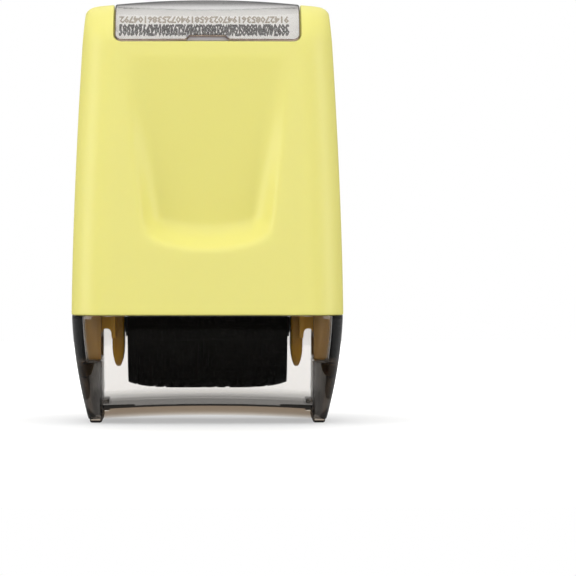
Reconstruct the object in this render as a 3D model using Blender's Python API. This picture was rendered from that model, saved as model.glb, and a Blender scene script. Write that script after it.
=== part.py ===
"""A privacy roller stamp: a wedge-shaped shell with a thumb dish on each face, a clear index
window on its crown, an inner frame that carries the print roller and the ink roller, and a
smoked cap that closes it from below.

The stamp stands on its cap. X runs across it, along the rollers. -Y is the front, +Z is up,
and the origin is on the ground under its middle.
"""

from math import acos, asin, atan2, cos, hypot, pi, radians, sin, sqrt, tan

import bmesh
import bpy

MM = 0.001

# The shell, outside
BODY_WIDTH = 42.0 * MM
CREST_WIDTH_LOSS = 3.8 * MM
BODY_DEPTH = 31.0 * MM
SPLIT_HEIGHT = 16.9 * MM
CREST_HEIGHT = 66.0 * MM
CREST_CROWN = 1.25 * MM
ARCH_RADIUS = 8.4 * MM
CORNER_RADIUS = 6.0 * MM
CORNER_SWEEP = radians(65)
CREST_CORNER_SHARE = 0.4
WIDTH_TAPER_POWER = 1.6

# The shell, inside and on its ends
SHELL_WALL = 1.5 * MM
PANEL_RECESS = 0.9 * MM
RIM_WIDTH = 1.2 * MM
NOTCH_HEIGHT = 7.8 * MM
NOTCH_CORNER = 4.5 * MM

# The thumb dish in each face
DISH_ABOVE_SPLIT = 9.9 * MM
DISH_BELOW_CROWN = 0.6 * MM
DISH_LOW_MARGIN = 11.0 * MM
DISH_HIGH_MARGIN = 8.7 * MM
DISH_DEEPEST = 3.9 * MM
DISH_SAG = 2.0 * MM
DISH_SIDE_BLEND = 2.4 * MM
DISH_LOW_BLEND = 4.2 * MM

# The index window, its seat and the label under it
WINDOW_SHOULDER = 4.7 * MM
WINDOW_PROUD = 0.05 * MM
WINDOW_GAP = 0.15 * MM
SEAT_ABOVE_CROWN_CENTRE = 1.8 * MM
SEAT_DEPTH = 1.8 * MM
LABEL_THICKNESS = 0.2 * MM
LABEL_GAP = 0.1 * MM
LABEL_MARGIN = 0.9 * MM
PRY_STEP_WIDTH = 6.6 * MM
PRY_STEP_HEIGHT = 0.65 * MM
PRY_STEP_SLANT = 0.4 * MM
LEG_WIDTH = 3.0 * MM
LEG_THICKNESS = 0.9 * MM
LEG_LENGTH = 3.0 * MM
LEG_INSET = 6.4 * MM
LEG_CLEARANCE = 0.18 * MM

# The print roller
ROLLER_END_ROOM = 8.6 * MM
ROLLER_RADIUS = 10.0 * MM
ROLLER_GROUND_GAP = 5.4 * MM
ROLLER_CROWN = 0.9 * MM
ROLLER_CROWN_POWER = 5
SLEEVE_THICKNESS = 2.0 * MM
CORE_WALL = 1.5 * MM
CORE_SHORTER = 0.4 * MM
FIT_GAP = 0.2 * MM
FLANGE_DEPTH = 1.3 * MM
FLANGE_LIP = 0.2 * MM
FLANGE_INSET = 0.05 * MM
HUB_RADIUS = 2.1 * MM
HUB_PROUD = 0.4 * MM
AXLE_RADIUS = 1.5 * MM
AXLE_CLEARANCE = 0.1 * MM

# The ink roller
INK_RADIUS = 5.2 * MM
INK_CORE_RADIUS = 2.6 * MM
INK_SHORTER = 2.4 * MM
INK_DISC_THICKNESS = 0.8 * MM
INK_DISC_RADIUS = 4.6 * MM
INK_PIN_RADIUS = 1.4 * MM
ROLLER_NIP = 0.3 * MM

# The inner frame
END_PLAY = 0.6 * MM
ARM_THICKNESS = 1.6 * MM
ARM_TIP_RADIUS = 4.6 * MM
ARM_BELOW_AXLE = 6.7 * MM
ARM_TOP_HALF = 6.0 * MM
ARM_SHOULDER = 5.0 * MM
PIN_PROUD = 0.1 * MM
DECK_CLEARANCE = 1.5 * MM
DECK_THICKNESS = 1.4 * MM
DECK_TENON_WIDTH = 5.0 * MM
DECK_FIT_GAP = 0.1 * MM
SKIRT_THICKNESS = 1.2 * MM
SKIRT_GAP = 0.25 * MM
SKIRT_LOW = 10.0 * MM
SKIRT_HIGH = 25.0 * MM
SKIRT_STRAIGHT_HALF = 7.6 * MM
SKIRT_CORNER = 3.0 * MM
WEB_LOW = 14.7 * MM
WEB_THICKNESS = 1.4 * MM
WEB_INNER_HALF = 3.0 * MM
WEB_OUTER_HALF = 7.6 * MM
FIN_THICKNESS = 1.4 * MM
FIN_GAP = 0.4 * MM

# The cap
CAP_GAP = 0.3 * MM
CAP_END_WALL = 2.0 * MM
CAP_FACE_WALL = 1.4 * MM
CAP_FLOOR = 1.5 * MM
CAP_FOOT_WIDTH_LOSS = 5.0 * MM
CAP_TAPER_POWER = 1.6
CAP_FLOOR_HALF = 6.5 * MM
CAP_ROUNDNESS = 2.5
CAP_CORNER_REACH = 5.4 * MM
FLOOR_LIFT = 0.3 * MM
FLOOR_ARCH = 0.85 * MM
FOOT_WIDTH = 1.6 * MM
FOOT_LENGTH = 14.0 * MM
FOOT_EDGE = 0.35 * MM
FOOT_HEIGHT = 1.8 * MM
REST_RIB_WIDTH = 1.7 * MM
REST_RIB_HEIGHT = 3.5 * MM
REST_RIB_LENGTH = 9.0 * MM
TONGUE_THICKNESS = 1.35 * MM
TONGUE_ROOT = 2.2 * MM

# One overrun serves every cut and every join
OVERRUN = 1.0 * MM

# How finely round things are divided
ARCH_STEPS = 14
FACE_STEPS = 6
DISH_WALL_STEPS = 4
WIDTH_STEPS = 16
CORNER_STEPS = 4
ROUND_STEPS = 40
SMALL_ROUND_STEPS = 24

CREST_WIDTH = BODY_WIDTH - CREST_WIDTH_LOSS
CREST_CENTRE = CREST_HEIGHT - ARCH_RADIUS
DISH_LOW = SPLIT_HEIGHT + DISH_ABOVE_SPLIT
DISH_HIGH = CREST_CENTRE - DISH_BELOW_CROWN
DISH_LOW_WIDTH = BODY_WIDTH - 2 * DISH_LOW_MARGIN
DISH_HIGH_WIDTH = BODY_WIDTH - 2 * DISH_HIGH_MARGIN
WINDOW_WIDTH = CREST_WIDTH - 2 * WINDOW_SHOULDER
LEG_SPACING = WINDOW_WIDTH - 2 * LEG_INSET
SEAT_LEDGE = CREST_CENTRE + SEAT_ABOVE_CROWN_CENTRE
ROLLER_LENGTH = BODY_WIDTH - 2 * ROLLER_END_ROOM
INK_LENGTH = ROLLER_LENGTH - INK_SHORTER
CAP_FLAT_HALF = BODY_WIDTH / 2 - CAP_CORNER_REACH
SEAT_RADIUS = ARCH_RADIUS - SEAT_DEPTH
LABEL_RADIUS = SEAT_RADIUS + LABEL_GAP
WINDOW_RADIUS = ARCH_RADIUS + WINDOW_PROUD
AXLE_HEIGHT = ROLLER_GROUND_GAP + ROLLER_RADIUS
INK_HEIGHT = AXLE_HEIGHT + ROLLER_RADIUS + ROLLER_NIP + INK_RADIUS
DECK_LOW = INK_HEIGHT + INK_RADIUS + DECK_CLEARANCE
DECK_HIGH = DECK_LOW + DECK_THICKNESS
ARM_INNER = ROLLER_LENGTH / 2 + END_PLAY
ARM_OUTER = ARM_INNER + ARM_THICKNESS
CAP_TOP = SPLIT_HEIGHT - CAP_GAP

SHELL_YELLOW = (0.78, 0.73, 0.19)
FRAME_YELLOW = (0.72, 0.50, 0.08)


# Materials


def material(name, colour, roughness, metallic=0.0, alpha=1.0):
    made = bpy.data.materials.new(name)
    made.use_nodes = True
    shader = made.node_tree.nodes["Principled BSDF"]
    shader.inputs["Base Color"].default_value = (*colour, 1.0)
    shader.inputs["Roughness"].default_value = roughness
    shader.inputs["Metallic"].default_value = metallic
    shader.inputs["Alpha"].default_value = alpha
    made.diffuse_color = (*colour, alpha)
    return made


# Mesh helpers


def new_object(name, mesh, surface=None, cutter=False):
    made = bpy.data.objects.new(name, mesh)
    bpy.context.scene.collection.objects.link(made)
    if surface is not None:
        mesh.materials.append(surface)
    if cutter:
        made.hide_render = True
        made.display_type = "WIRE"
    else:
        mesh.shade_smooth()
        mesh.set_sharp_from_angle(angle=radians(30))
    return made


def mesh_of(name, points, faces):
    """A mesh whose faces all point out, from points and faces that may turn either way."""
    shape = bmesh.new()
    corners = [shape.verts.new(point) for point in points]
    for face in faces:
        shape.faces.new([corners[index] for index in face])
    bmesh.ops.recalc_face_normals(shape, faces=shape.faces)
    if shape.calc_volume(signed=True) < 0:
        bmesh.ops.reverse_faces(shape, faces=shape.faces)
    mesh = bpy.data.meshes.new(name)
    shape.to_mesh(mesh)
    shape.free()
    return mesh


def ring_faces(ring_count, ring_size, wrap=False):
    """The quads that join each closed ring of points to the next one."""
    faces = []
    for ring in range(ring_count if wrap else ring_count - 1):
        here = ring * ring_size
        there = (ring + 1) % ring_count * ring_size
        for index in range(ring_size):
            after = (index + 1) % ring_size
            faces.append((here + index, here + after, there + after, there + index))
    return faces


def prism(name, outline, axis, low, high, **kind):
    """A straight bar whose cross-section is the outline, from low to high along axis X, Y or Z."""
    place = {
        "X": lambda u, v, w: (w, u, v),
        "Y": lambda u, v, w: (u, w, v),
        "Z": lambda u, v, w: (u, v, w),
    }[axis]
    size = len(outline)
    points = [place(u, v, w) for w in (low, high) for u, v in outline]
    faces = ring_faces(2, size)
    faces.append(tuple(range(size)))
    faces.append(tuple(range(size, 2 * size)))
    return new_object(name, mesh_of(name, points, faces), **kind)


def box(name, low, high, **kind):
    outline = [(low[0], low[1]), (high[0], low[1]), (high[0], high[1]), (low[0], high[1])]
    return prism(name, outline, "Z", low[2], high[2], **kind)


def turned(name, outline, height, steps, hollow, **kind):
    """A shape turned about the line along X at this height. The outline is (x, radius) points.
    A hollow one is a closed outline that stays off the axis; any other is closed by flat ends."""
    points = []
    for x, radius in outline:
        for step in range(steps):
            angle = 2 * pi * step / steps
            points.append((x, radius * cos(angle), height + radius * sin(angle)))
    faces = ring_faces(len(outline), steps, wrap=hollow)
    if not hollow:
        faces.append(tuple(range(steps)))
        faces.append(tuple(range(len(points) - steps, len(points))))
    return new_object(name, mesh_of(name, points, faces), **kind)


def combine(target, other, operation):
    change = target.modifiers.new(other.name, "BOOLEAN")
    change.operation = operation
    change.object = other
    change.solver = "EXACT"


def cut(target, *cutters):
    for cutter in cutters:
        combine(target, cutter, "DIFFERENCE")


def join(target, *others):
    for other in others:
        combine(target, other, "UNION")


def shares(steps):
    return [step / steps for step in range(steps + 1)]


def smooth_step(value):
    value = min(1.0, max(0.0, value))
    return value * value * (3 - 2 * value)


# The shell's outline, as functions of height


def face_lean():
    """The angle by which each face leans in, so that it meets the crown's arch smoothly."""
    height = CREST_CENTRE - SPLIT_HEIGHT
    reach = hypot(BODY_DEPTH / 2, height)
    return acos(ARCH_RADIUS / reach) - atan2(height, BODY_DEPTH / 2)


FACE_LEAN = face_lean()


def shell_half_width(z):
    """Half the shell's width at this height: widest at its lower edge, curving in to the crown."""
    share = max(0.0, z - SPLIT_HEIGHT) / (CREST_HEIGHT - SPLIT_HEIGHT)
    return (BODY_WIDTH - (BODY_WIDTH - CREST_WIDTH) * share**WIDTH_TAPER_POWER) / 2


def face_depth(z):
    """How far a leaning face lies from the middle plane at this height."""
    return BODY_DEPTH / 2 - (z - SPLIT_HEIGHT) * tan(FACE_LEAN)


def dish_depth(x, z):
    """How deep the thumb dish is below the face: deepest low down, running out to nothing
    at its top, with soft side walls and a soft lower wall that sags in the middle."""
    share = (z - DISH_LOW) / (DISH_HIGH - DISH_LOW)
    half = (DISH_LOW_WIDTH + (DISH_HIGH_WIDTH - DISH_LOW_WIDTH) * share) / 2
    lower_edge = DISH_LOW + DISH_SAG * (2 * x / DISH_LOW_WIDTH) ** 2
    deepest = DISH_DEEPEST * max(0.0, 1 - share)
    side = smooth_step((half - abs(x)) / DISH_SIDE_BLEND)
    low = smooth_step((z - lower_edge) / DISH_LOW_BLEND)
    return deepest * side * low


def crown_drop(x, out_z):
    """How far the crest's surface sinks below the middle's towards the two ends.
    It fades out round the arch, so that the faces stay flat."""
    weight = max(0.0, out_z - sin(FACE_LEAN)) / (1 - sin(FACE_LEAN))
    return CREST_CROWN * (2 * x / CREST_WIDTH) ** 2 * weight


def steps_between(places, counts):
    """Even steps from each place to the next, as many as its count says."""
    found = [places[0]]
    for before, after, count in zip(places, places[1:], counts):
        found += [before + (after - before) * share for share in shares(count)[1:]]
    return found


def shell_profile(inset, arch_radius, low, arch_rows):
    """One side profile, front foot to back foot, as (y, z, outward y, outward z).
    The faces lean in and an arch joins them. The arch is the crown's own, or a smaller one
    that leaves a shoulder inside for the window's ledge.
    The rows stand closer together where the dish's lower wall is."""
    rise = CREST_CENTRE + arch_radius * sin(FACE_LEAN)
    places = [low, DISH_LOW, DISH_LOW + DISH_SAG + DISH_LOW_BLEND, rise]
    front = []
    for z in steps_between(places, (2, DISH_WALL_STEPS + 1, FACE_STEPS)):
        y = face_depth(z) - inset / cos(FACE_LEAN)
        front.append((-y, z, -cos(FACE_LEAN), sin(FACE_LEAN)))
    crown = []
    for share in shares(arch_rows)[1:-1]:
        angle = FACE_LEAN + (pi - 2 * FACE_LEAN) * share
        y, z = arch_radius * cos(angle), CREST_CENTRE + arch_radius * sin(angle)
        crown.append((-y, z, -cos(angle), sin(angle)))
    back = [(-y, z, -ny, nz) for y, z, ny, nz in reversed(front)]
    return front + crown + back


def wedge(name, profile, half_width, corner_radius, **kind):
    """A closed wedge: the side profile carried across the width, drawn in at the two ends
    along a rounded corner, with the thumb dishes pressed into both faces."""
    corner_reach = corner_radius * sin(CORNER_SWEEP)
    dish_inner = DISH_LOW_WIDTH / 2 - DISH_SIDE_BLEND
    places = [-DISH_HIGH_WIDTH / 2, -dish_inner, dish_inner, DISH_HIGH_WIDTH / 2]
    stations = []
    for share in shares(CORNER_STEPS)[:-1]:
        stations.append((-1, CORNER_SWEEP * (1 - share), 0.0))
    stations.append((-1, 0.0, 0.0))
    for x in steps_between(places, (DISH_WALL_STEPS, DISH_WALL_STEPS, DISH_WALL_STEPS)):
        stations.append((0, 0.0, x))
    stations.append((1, 0.0, 0.0))
    for share in shares(CORNER_STEPS)[1:]:
        stations.append((1, CORNER_SWEEP * share, 0.0))
    points = []
    for side, angle, middle in stations:
        inset = corner_radius * (1 - cos(angle))
        for y, z, out_y, out_z in profile:
            flat_half = half_width(z) - corner_reach
            x = side * (flat_half + corner_radius * sin(angle)) + middle
            dish = dish_depth(x, z) * (1 if y < 0 else -1)
            drop = inset * CREST_CORNER_SHARE * max(0.0, out_z - sin(FACE_LEAN))
            drop += crown_drop(x, out_z)
            points.append((x, y - inset * out_y + dish, z - drop))
    size = len(profile)
    faces = ring_faces(len(stations), size)
    for end in (0, (len(stations) - 1) * size):
        for row in range(size // 2):
            mirrored = size - 1 - row
            corners = [row, row + 1, mirrored - 1, mirrored]
            kept = list(dict.fromkeys(corners))
            if len(kept) > 2:
                faces.append(tuple(end + corner for corner in kept))
    return new_object(name, mesh_of(name, points, faces), **kind)


def notch_outline(margin, low):
    """The arched notch at the foot of each end wall, or what fills it with a margin.
    Its sides lean in with the faces, so the rim beside it keeps its width."""
    inset = CORNER_RADIUS * (1 - cos(CORNER_SWEEP)) + RIM_WIDTH + margin
    high = SPLIT_HEIGHT + NOTCH_HEIGHT - margin
    corner = NOTCH_CORNER - margin
    half = face_depth(high - corner) - inset
    right = [(face_depth(low) - inset, low)]
    for share in shares(2 * CORNER_STEPS):
        angle = pi / 2 * share
        right.append((half - corner + corner * cos(angle), high - corner + corner * sin(angle)))
    return right + [(-y, z) for y, z in reversed(right)]


def panel_outline():
    """The sunk panel on each end, inside its rim: straight leaning sides and a round top."""
    inset = CORNER_RADIUS * (1 - cos(CORNER_SWEEP)) + RIM_WIDTH
    half = max(ARCH_RADIUS - inset, RIM_WIDTH)
    right = [(face_depth(SPLIT_HEIGHT) - inset, SPLIT_HEIGHT - OVERRUN)]
    for share in shares(ARCH_STEPS // 2):
        angle = FACE_LEAN + (pi / 2 - FACE_LEAN) * share
        rise = ARCH_RADIUS - CORNER_RADIUS * CREST_CORNER_SHARE * (1 - cos(CORNER_SWEEP)) - RIM_WIDTH
        right.append((half * cos(angle), CREST_CENTRE + rise * sin(angle)))
    return right + [(-y, z) for y, z in reversed(right[:-1])]


# The shell, its window and its label


def make_shell(surface):
    outer = shell_profile(0.0, ARCH_RADIUS, SPLIT_HEIGHT, ARCH_STEPS)
    shell = wedge("outer_shell", outer, shell_half_width, CORNER_RADIUS, surface=surface)
    inner_radius = SEAT_RADIUS - SHELL_WALL
    inner = shell_profile(SHELL_WALL, inner_radius, SPLIT_HEIGHT - OVERRUN, ARCH_STEPS // 2)

    def inner_half_width(z):
        return shell_half_width(z) - PANEL_RECESS - SHELL_WALL

    hollow = wedge(
        "shell_hollow",
        inner,
        inner_half_width,
        CORNER_RADIUS - SHELL_WALL,
        cutter=True,
    )
    cut(shell, hollow)
    for side, name in ((-1, "left"), (1, "right")):
        floor = [
            (shell_half_width(z) - PANEL_RECESS, z)
            for z in (
                SPLIT_HEIGHT - OVERRUN + (CREST_HEIGHT - SPLIT_HEIGHT + 2 * OVERRUN) * share
                for share in shares(FACE_STEPS + 2)
            )
        ]
        reach = BODY_WIDTH / 2 + OVERRUN
        slab = floor + [(reach, floor[-1][1]), (reach, floor[0][1])]
        panel_bar = prism(
            f"panel_bar_{name}",
            [(side * x, z) for x, z in slab],
            "Y",
            -BODY_DEPTH / 2,
            BODY_DEPTH / 2,
            cutter=True,
        )
        ends = sorted((side * (CREST_WIDTH / 2 - PANEL_RECESS - OVERRUN), side * (reach + OVERRUN)))
        panel = prism(f"panel_cutter_{name}", panel_outline(), "X", *ends, cutter=True)
        combine(panel, panel_bar, "INTERSECT")
        inner_x = CREST_WIDTH / 2 - PANEL_RECESS - SHELL_WALL - OVERRUN
        ends = sorted((side * inner_x, side * (reach + OVERRUN)))
        notch = prism(
            f"notch_cutter_{name}",
            notch_outline(0.0, SPLIT_HEIGHT - OVERRUN),
            "X",
            *ends,
            cutter=True,
        )
        cut(shell, panel, notch)
    half = WINDOW_WIDTH / 2 + WINDOW_GAP
    seat = prism("seat_cutter", seat_outline(), "X", -half, half, cutter=True)
    cut(seat, pry_step("step_keeper", 0.0))
    cut(shell, seat)
    for name, low, high in leg_boxes(LEG_CLEARANCE):
        cut(shell, box(f"slot_cutter_{name}", low, high, cutter=True))
    return shell


def seat_outline():
    """Everything outside the seat's round floor and above its ledge."""
    start = asin((SEAT_LEDGE - CREST_CENTRE) / SEAT_RADIUS)
    arc = []
    for share in shares(ARCH_STEPS):
        angle = start + (pi - 2 * start) * share
        arc.append((SEAT_RADIUS * cos(angle), CREST_CENTRE + SEAT_RADIUS * sin(angle)))
    reach = ARCH_RADIUS + OVERRUN
    top = CREST_HEIGHT + OVERRUN
    return arc + [(-reach, SEAT_LEDGE), (-reach, top), (reach, top), (reach, SEAT_LEDGE)]


def pry_step(name, clearance):
    """The shell's step that reaches up into the window's front edge, where a nail lifts it."""
    half = PRY_STEP_WIDTH / 2 + clearance
    high = SEAT_LEDGE + PRY_STEP_HEIGHT + clearance
    outline = [
        (-half, SEAT_LEDGE - OVERRUN),
        (-half, SEAT_LEDGE),
        (PRY_STEP_SLANT - half, high),
        (half - PRY_STEP_SLANT, high),
        (half, SEAT_LEDGE),
        (half, SEAT_LEDGE - OVERRUN),
    ]
    return prism(name, outline, "Y", -BODY_DEPTH / 2, 0.0, cutter=True)


def leg_boxes(clearance):
    """The window's four snap legs, or with a clearance the slots that they drop into."""
    inner = sqrt((SEAT_RADIUS + LABEL_GAP + LABEL_THICKNESS) ** 2 - (SEAT_LEDGE - CREST_CENTRE) ** 2)
    inner -= LEG_CLEARANCE / 2
    for side, side_name in ((-1, "left"), (1, "right")):
        for face, face_name in ((-1, "front"), (1, "back")):
            x = sorted(
                side * (LEG_SPACING / 2 + reach)
                for reach in (-LEG_WIDTH / 2 - clearance, LEG_WIDTH / 2 + clearance)
            )
            y = sorted(
                face * reach for reach in (inner - clearance, inner + LEG_THICKNESS + clearance)
            )
            low = SEAT_LEDGE - LEG_LENGTH - clearance
            high = SEAT_LEDGE + (OVERRUN if not clearance else OVERRUN / 2)
            yield f"{side_name}_{face_name}", (x[0], y[0], low), (x[1], y[1], high)


def make_window(surface):
    """A curved clear strip over the crown, thickest in the middle of its length."""
    inner_radius = LABEL_RADIUS + LABEL_THICKNESS + WINDOW_GAP
    foot = SEAT_LEDGE + WINDOW_GAP
    points = []
    across = shares(WIDTH_STEPS)
    rows = ARCH_STEPS + 2
    for share in across:
        x = WINDOW_WIDTH * (share - 1 / 2)
        loop = []
        for radius, crowned, order in ((WINDOW_RADIUS, 1, 1), (inner_radius, 0, -1)):
            start = asin((foot - CREST_CENTRE) / radius)
            arc = []
            for step in shares(rows):
                angle = start + (pi - 2 * start) * step
                drop = crowned * crown_drop(x, sin(angle))
                arc.append((x, radius * cos(angle), CREST_CENTRE + radius * sin(angle) - drop))
            loop += arc[::order]
        points += loop
    size = 2 * (rows + 1)
    faces = ring_faces(len(across), size)
    for end in (0, (len(across) - 1) * size):
        for row in range(rows):
            faces.append((end + row, end + row + 1, end + size - 2 - row, end + size - 1 - row))
    window = new_object("index_window", mesh_of("index_window", points, faces), surface)
    for name, low, high in leg_boxes(0.0):
        join(window, box(f"leg_{name}", low, high, cutter=True))
    cut(window, pry_step("step_cutter", WINDOW_GAP))
    return window


def make_label(surface):
    foot = SEAT_LEDGE + LABEL_MARGIN
    half = WINDOW_WIDTH / 2 - LABEL_MARGIN
    outline = []
    for radius, order in ((LABEL_RADIUS + LABEL_THICKNESS, 1), (LABEL_RADIUS, -1)):
        start = asin((foot - CREST_CENTRE) / radius)
        arc = []
        for share in shares(ARCH_STEPS):
            angle = start + (pi - 2 * start) * share
            arc.append((radius * cos(angle), CREST_CENTRE + radius * sin(angle)))
        outline += arc[::order]
    return prism("index_label", outline, "X", -half, half, surface=surface)


# The rollers


def sleeve_radius(x):
    """The rubber sleeve is fullest in the middle and eases off towards its two ends."""
    return ROLLER_RADIUS - ROLLER_CROWN * abs(2 * x / ROLLER_LENGTH) ** ROLLER_CROWN_POWER


def make_print_roller(rubber, plastic, steel):
    half = ROLLER_LENGTH / 2
    core_outer = ROLLER_RADIUS - SLEEVE_THICKNESS - FIT_GAP
    core_inner = core_outer - CORE_WALL
    core_half = half - CORE_SHORTER
    surface = [(x, sleeve_radius(x)) for x in (half * (2 * s - 1) for s in shares(WIDTH_STEPS))]
    bore = ROLLER_RADIUS - SLEEVE_THICKNESS
    turned(
        "print_sleeve",
        [(-half, bore), *surface, (half, bore)],
        AXLE_HEIGHT,
        ROUND_STEPS,
        True,
        surface=rubber,
    )
    tube = [
        (-core_half, core_inner),
        (-core_half, core_outer),
        (core_half, core_outer),
        (core_half, core_inner),
    ]
    turned("print_core", tube, AXLE_HEIGHT, ROUND_STEPS, True, surface=plastic)
    bore = AXLE_RADIUS + AXLE_CLEARANCE
    lip_outer = half - FLANGE_INSET
    lip_inner = lip_outer - FLANGE_LIP
    plug_inner = core_half - FLANGE_DEPTH
    plug_radius = core_inner - FIT_GAP
    outline = [
        (plug_inner, bore),
        (plug_inner, plug_radius),
        (lip_inner, plug_radius),
        (lip_inner, core_outer - FIT_GAP),
        (lip_outer, core_outer - FIT_GAP),
        (lip_outer, HUB_RADIUS),
        (half + HUB_PROUD, HUB_RADIUS),
        (half + HUB_PROUD, bore),
    ]
    for side, name in ((-1, "left"), (1, "right")):
        turned(
            f"print_flange_{name}",
            [(side * x, radius) for x, radius in outline],
            AXLE_HEIGHT,
            ROUND_STEPS,
            True,
            surface=plastic,
        )
    reach = ARM_OUTER + PIN_PROUD
    turned(
        "print_axle",
        [(-reach, AXLE_RADIUS), (reach, AXLE_RADIUS)],
        AXLE_HEIGHT,
        SMALL_ROUND_STEPS,
        False,
        surface=steel,
    )


def make_ink_roller(foam, plastic):
    half = INK_LENGTH / 2
    shoulder = half + INK_DISC_THICKNESS + 2 * FIT_GAP
    pin = ARM_OUTER + PIN_PROUD
    outline = [
        (-pin, INK_PIN_RADIUS),
        (-shoulder, INK_PIN_RADIUS),
        (-shoulder, INK_CORE_RADIUS),
        (shoulder, INK_CORE_RADIUS),
        (shoulder, INK_PIN_RADIUS),
        (pin, INK_PIN_RADIUS),
    ]
    turned("ink_core", outline, INK_HEIGHT, SMALL_ROUND_STEPS, False, surface=plastic)
    bore = INK_CORE_RADIUS + FIT_GAP
    outline = [(-half, bore), (-half, INK_RADIUS), (half, INK_RADIUS), (half, bore)]
    turned("ink_foam", outline, INK_HEIGHT, ROUND_STEPS, True, surface=foam)
    inner = half + FIT_GAP
    outer = inner + INK_DISC_THICKNESS
    outline = [(inner, bore), (inner, INK_DISC_RADIUS), (outer, INK_DISC_RADIUS), (outer, bore)]
    for side, name in ((-1, "left"), (1, "right")):
        turned(
            f"ink_disc_{name}",
            [(side * x, radius) for x, radius in outline],
            INK_HEIGHT,
            SMALL_ROUND_STEPS,
            True,
            surface=plastic,
        )


# The inner frame


def cap_half_width(z):
    """Half the cap's width: the shell's own at its rim, curving in towards the foot."""
    share = max(0.0, CAP_TOP - z) / CAP_TOP
    return (BODY_WIDTH - CAP_FOOT_WIDTH_LOSS * share**CAP_TAPER_POWER) / 2


def skirt_outer():
    """The skirt clears the shell's end wall above and the cap's end wall below."""
    in_shell = shell_half_width(SKIRT_HIGH) - PANEL_RECESS - SHELL_WALL
    in_cap = cap_half_width(SKIRT_LOW) - CAP_END_WALL
    return min(in_shell, in_cap) - SKIRT_GAP


def skirt_outline():
    """A wall along the end of the stamp whose two edges turn in round the corners."""
    outer = skirt_outer()
    right = [(outer, SKIRT_STRAIGHT_HALF)]
    inner = [(outer - SKIRT_THICKNESS, SKIRT_STRAIGHT_HALF)]
    bend = SKIRT_CORNER - SKIRT_THICKNESS
    for share in shares(CORNER_STEPS)[1:]:
        angle = pi / 2 * share
        centre = (outer - SKIRT_CORNER, SKIRT_STRAIGHT_HALF)
        right.append(
            (centre[0] + SKIRT_CORNER * cos(angle), centre[1] + SKIRT_CORNER * sin(angle))
        )
        inner.append((centre[0] + bend * cos(angle), centre[1] + bend * sin(angle)))
    half = right + inner[::-1]
    mirrored = [(x, -y) for x, y in half]
    return (
        mirrored[len(right) - 1 :: -1]
        + half[: len(right)]
        + half[len(right) :]
        + mirrored[: len(right) - 1 : -1]
    )


def arm_outline():
    """A bearing arm seen from the end: a round tip below the axle, wider above it."""
    centre = AXLE_HEIGHT - ARM_BELOW_AXLE + ARM_TIP_RADIUS
    outline = []
    for share in shares(2 * CORNER_STEPS):
        angle = pi + pi * share
        outline.append((ARM_TIP_RADIUS * cos(angle), centre + ARM_TIP_RADIUS * sin(angle)))
    shoulder = AXLE_HEIGHT + ARM_SHOULDER
    outline += [
        (ARM_TOP_HALF, shoulder),
        (ARM_TOP_HALF, DECK_HIGH),
        (-ARM_TOP_HALF, DECK_HIGH),
        (-ARM_TOP_HALF, shoulder),
    ]
    return outline


def bore_cutter(name, height, radius):
    reach = ARM_OUTER + OVERRUN
    return turned(
        name,
        [(-reach, radius), (reach, radius)],
        height,
        SMALL_ROUND_STEPS,
        False,
        cutter=True,
    )


def make_frame(surface):
    """Two side frames, each an arm and a skirt joined by webs and a fin, and a deck between."""
    bores = (
        bore_cutter("print_bore", AXLE_HEIGHT, AXLE_RADIUS + AXLE_CLEARANCE),
        bore_cutter("ink_bore", INK_HEIGHT, INK_PIN_RADIUS + AXLE_CLEARANCE),
    )
    tenon = DECK_TENON_WIDTH / 2
    tenon_low, tenon_high = (
        (-ARM_OUTER, -tenon - DECK_FIT_GAP, DECK_LOW - DECK_FIT_GAP),
        (ARM_OUTER, tenon + DECK_FIT_GAP, DECK_HIGH + OVERRUN),
    )
    for side, name in ((-1, "left"), (1, "right")):
        ends = sorted((side * ARM_INNER, side * ARM_OUTER))
        arm = prism(f"frame_side_{name}", arm_outline(), "X", *ends, surface=surface)
        outline = [(side * x, y) for x, y in skirt_outline()]
        skirt = prism(f"skirt_{name}", outline, "Z", SKIRT_LOW, SKIRT_HIGH, cutter=True)
        reach = skirt_outer() - SKIRT_THICKNESS / 2
        webs = []
        for face in (-1, 1):
            y = sorted((face * WEB_INNER_HALF, face * WEB_OUTER_HALF))
            x = sorted((side * (ARM_INNER + ARM_THICKNESS / 2), side * reach))
            web_high = WEB_LOW + WEB_THICKNESS
            label = f"web_{name}_{'front' if face < 0 else 'back'}"
            webs.append(
                box(label, (x[0], y[0], WEB_LOW), (x[1], y[1], web_high), cutter=True)
            )
        fin_reach = shell_half_width(DECK_HIGH) - PANEL_RECESS - SHELL_WALL - FIN_GAP
        fin_x = sorted((side * (ARM_INNER + ARM_THICKNESS / 2), side * fin_reach))
        fin = box(
            f"fin_{name}",
            (fin_x[0], -FIN_THICKNESS / 2, SKIRT_HIGH),
            (fin_x[1], FIN_THICKNESS / 2, DECK_HIGH - FIN_THICKNESS),
            cutter=True,
        )
        join(arm, *webs, skirt, fin)
        x = sorted((side * (ARM_INNER - OVERRUN), side * (ARM_OUTER + OVERRUN)))
        mortise = box(
            f"mortise_{name}",
            (x[0], tenon_low[1], tenon_low[2]),
            (x[1], tenon_high[1], tenon_high[2]),
            cutter=True,
        )
        cut(arm, *bores, mortise)
    half = ARM_INNER - DECK_FIT_GAP
    deck = box(
        "frame_deck",
        (-half, -ARM_TOP_HALF, DECK_LOW),
        (half, ARM_TOP_HALF, DECK_HIGH),
        surface=surface,
    )
    tenon_bar = box(
        "tenon_bar", (-ARM_OUTER, -tenon, DECK_LOW), (ARM_OUTER, tenon, DECK_HIGH), cutter=True
    )
    join(deck, tenon_bar)


# The cap


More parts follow.
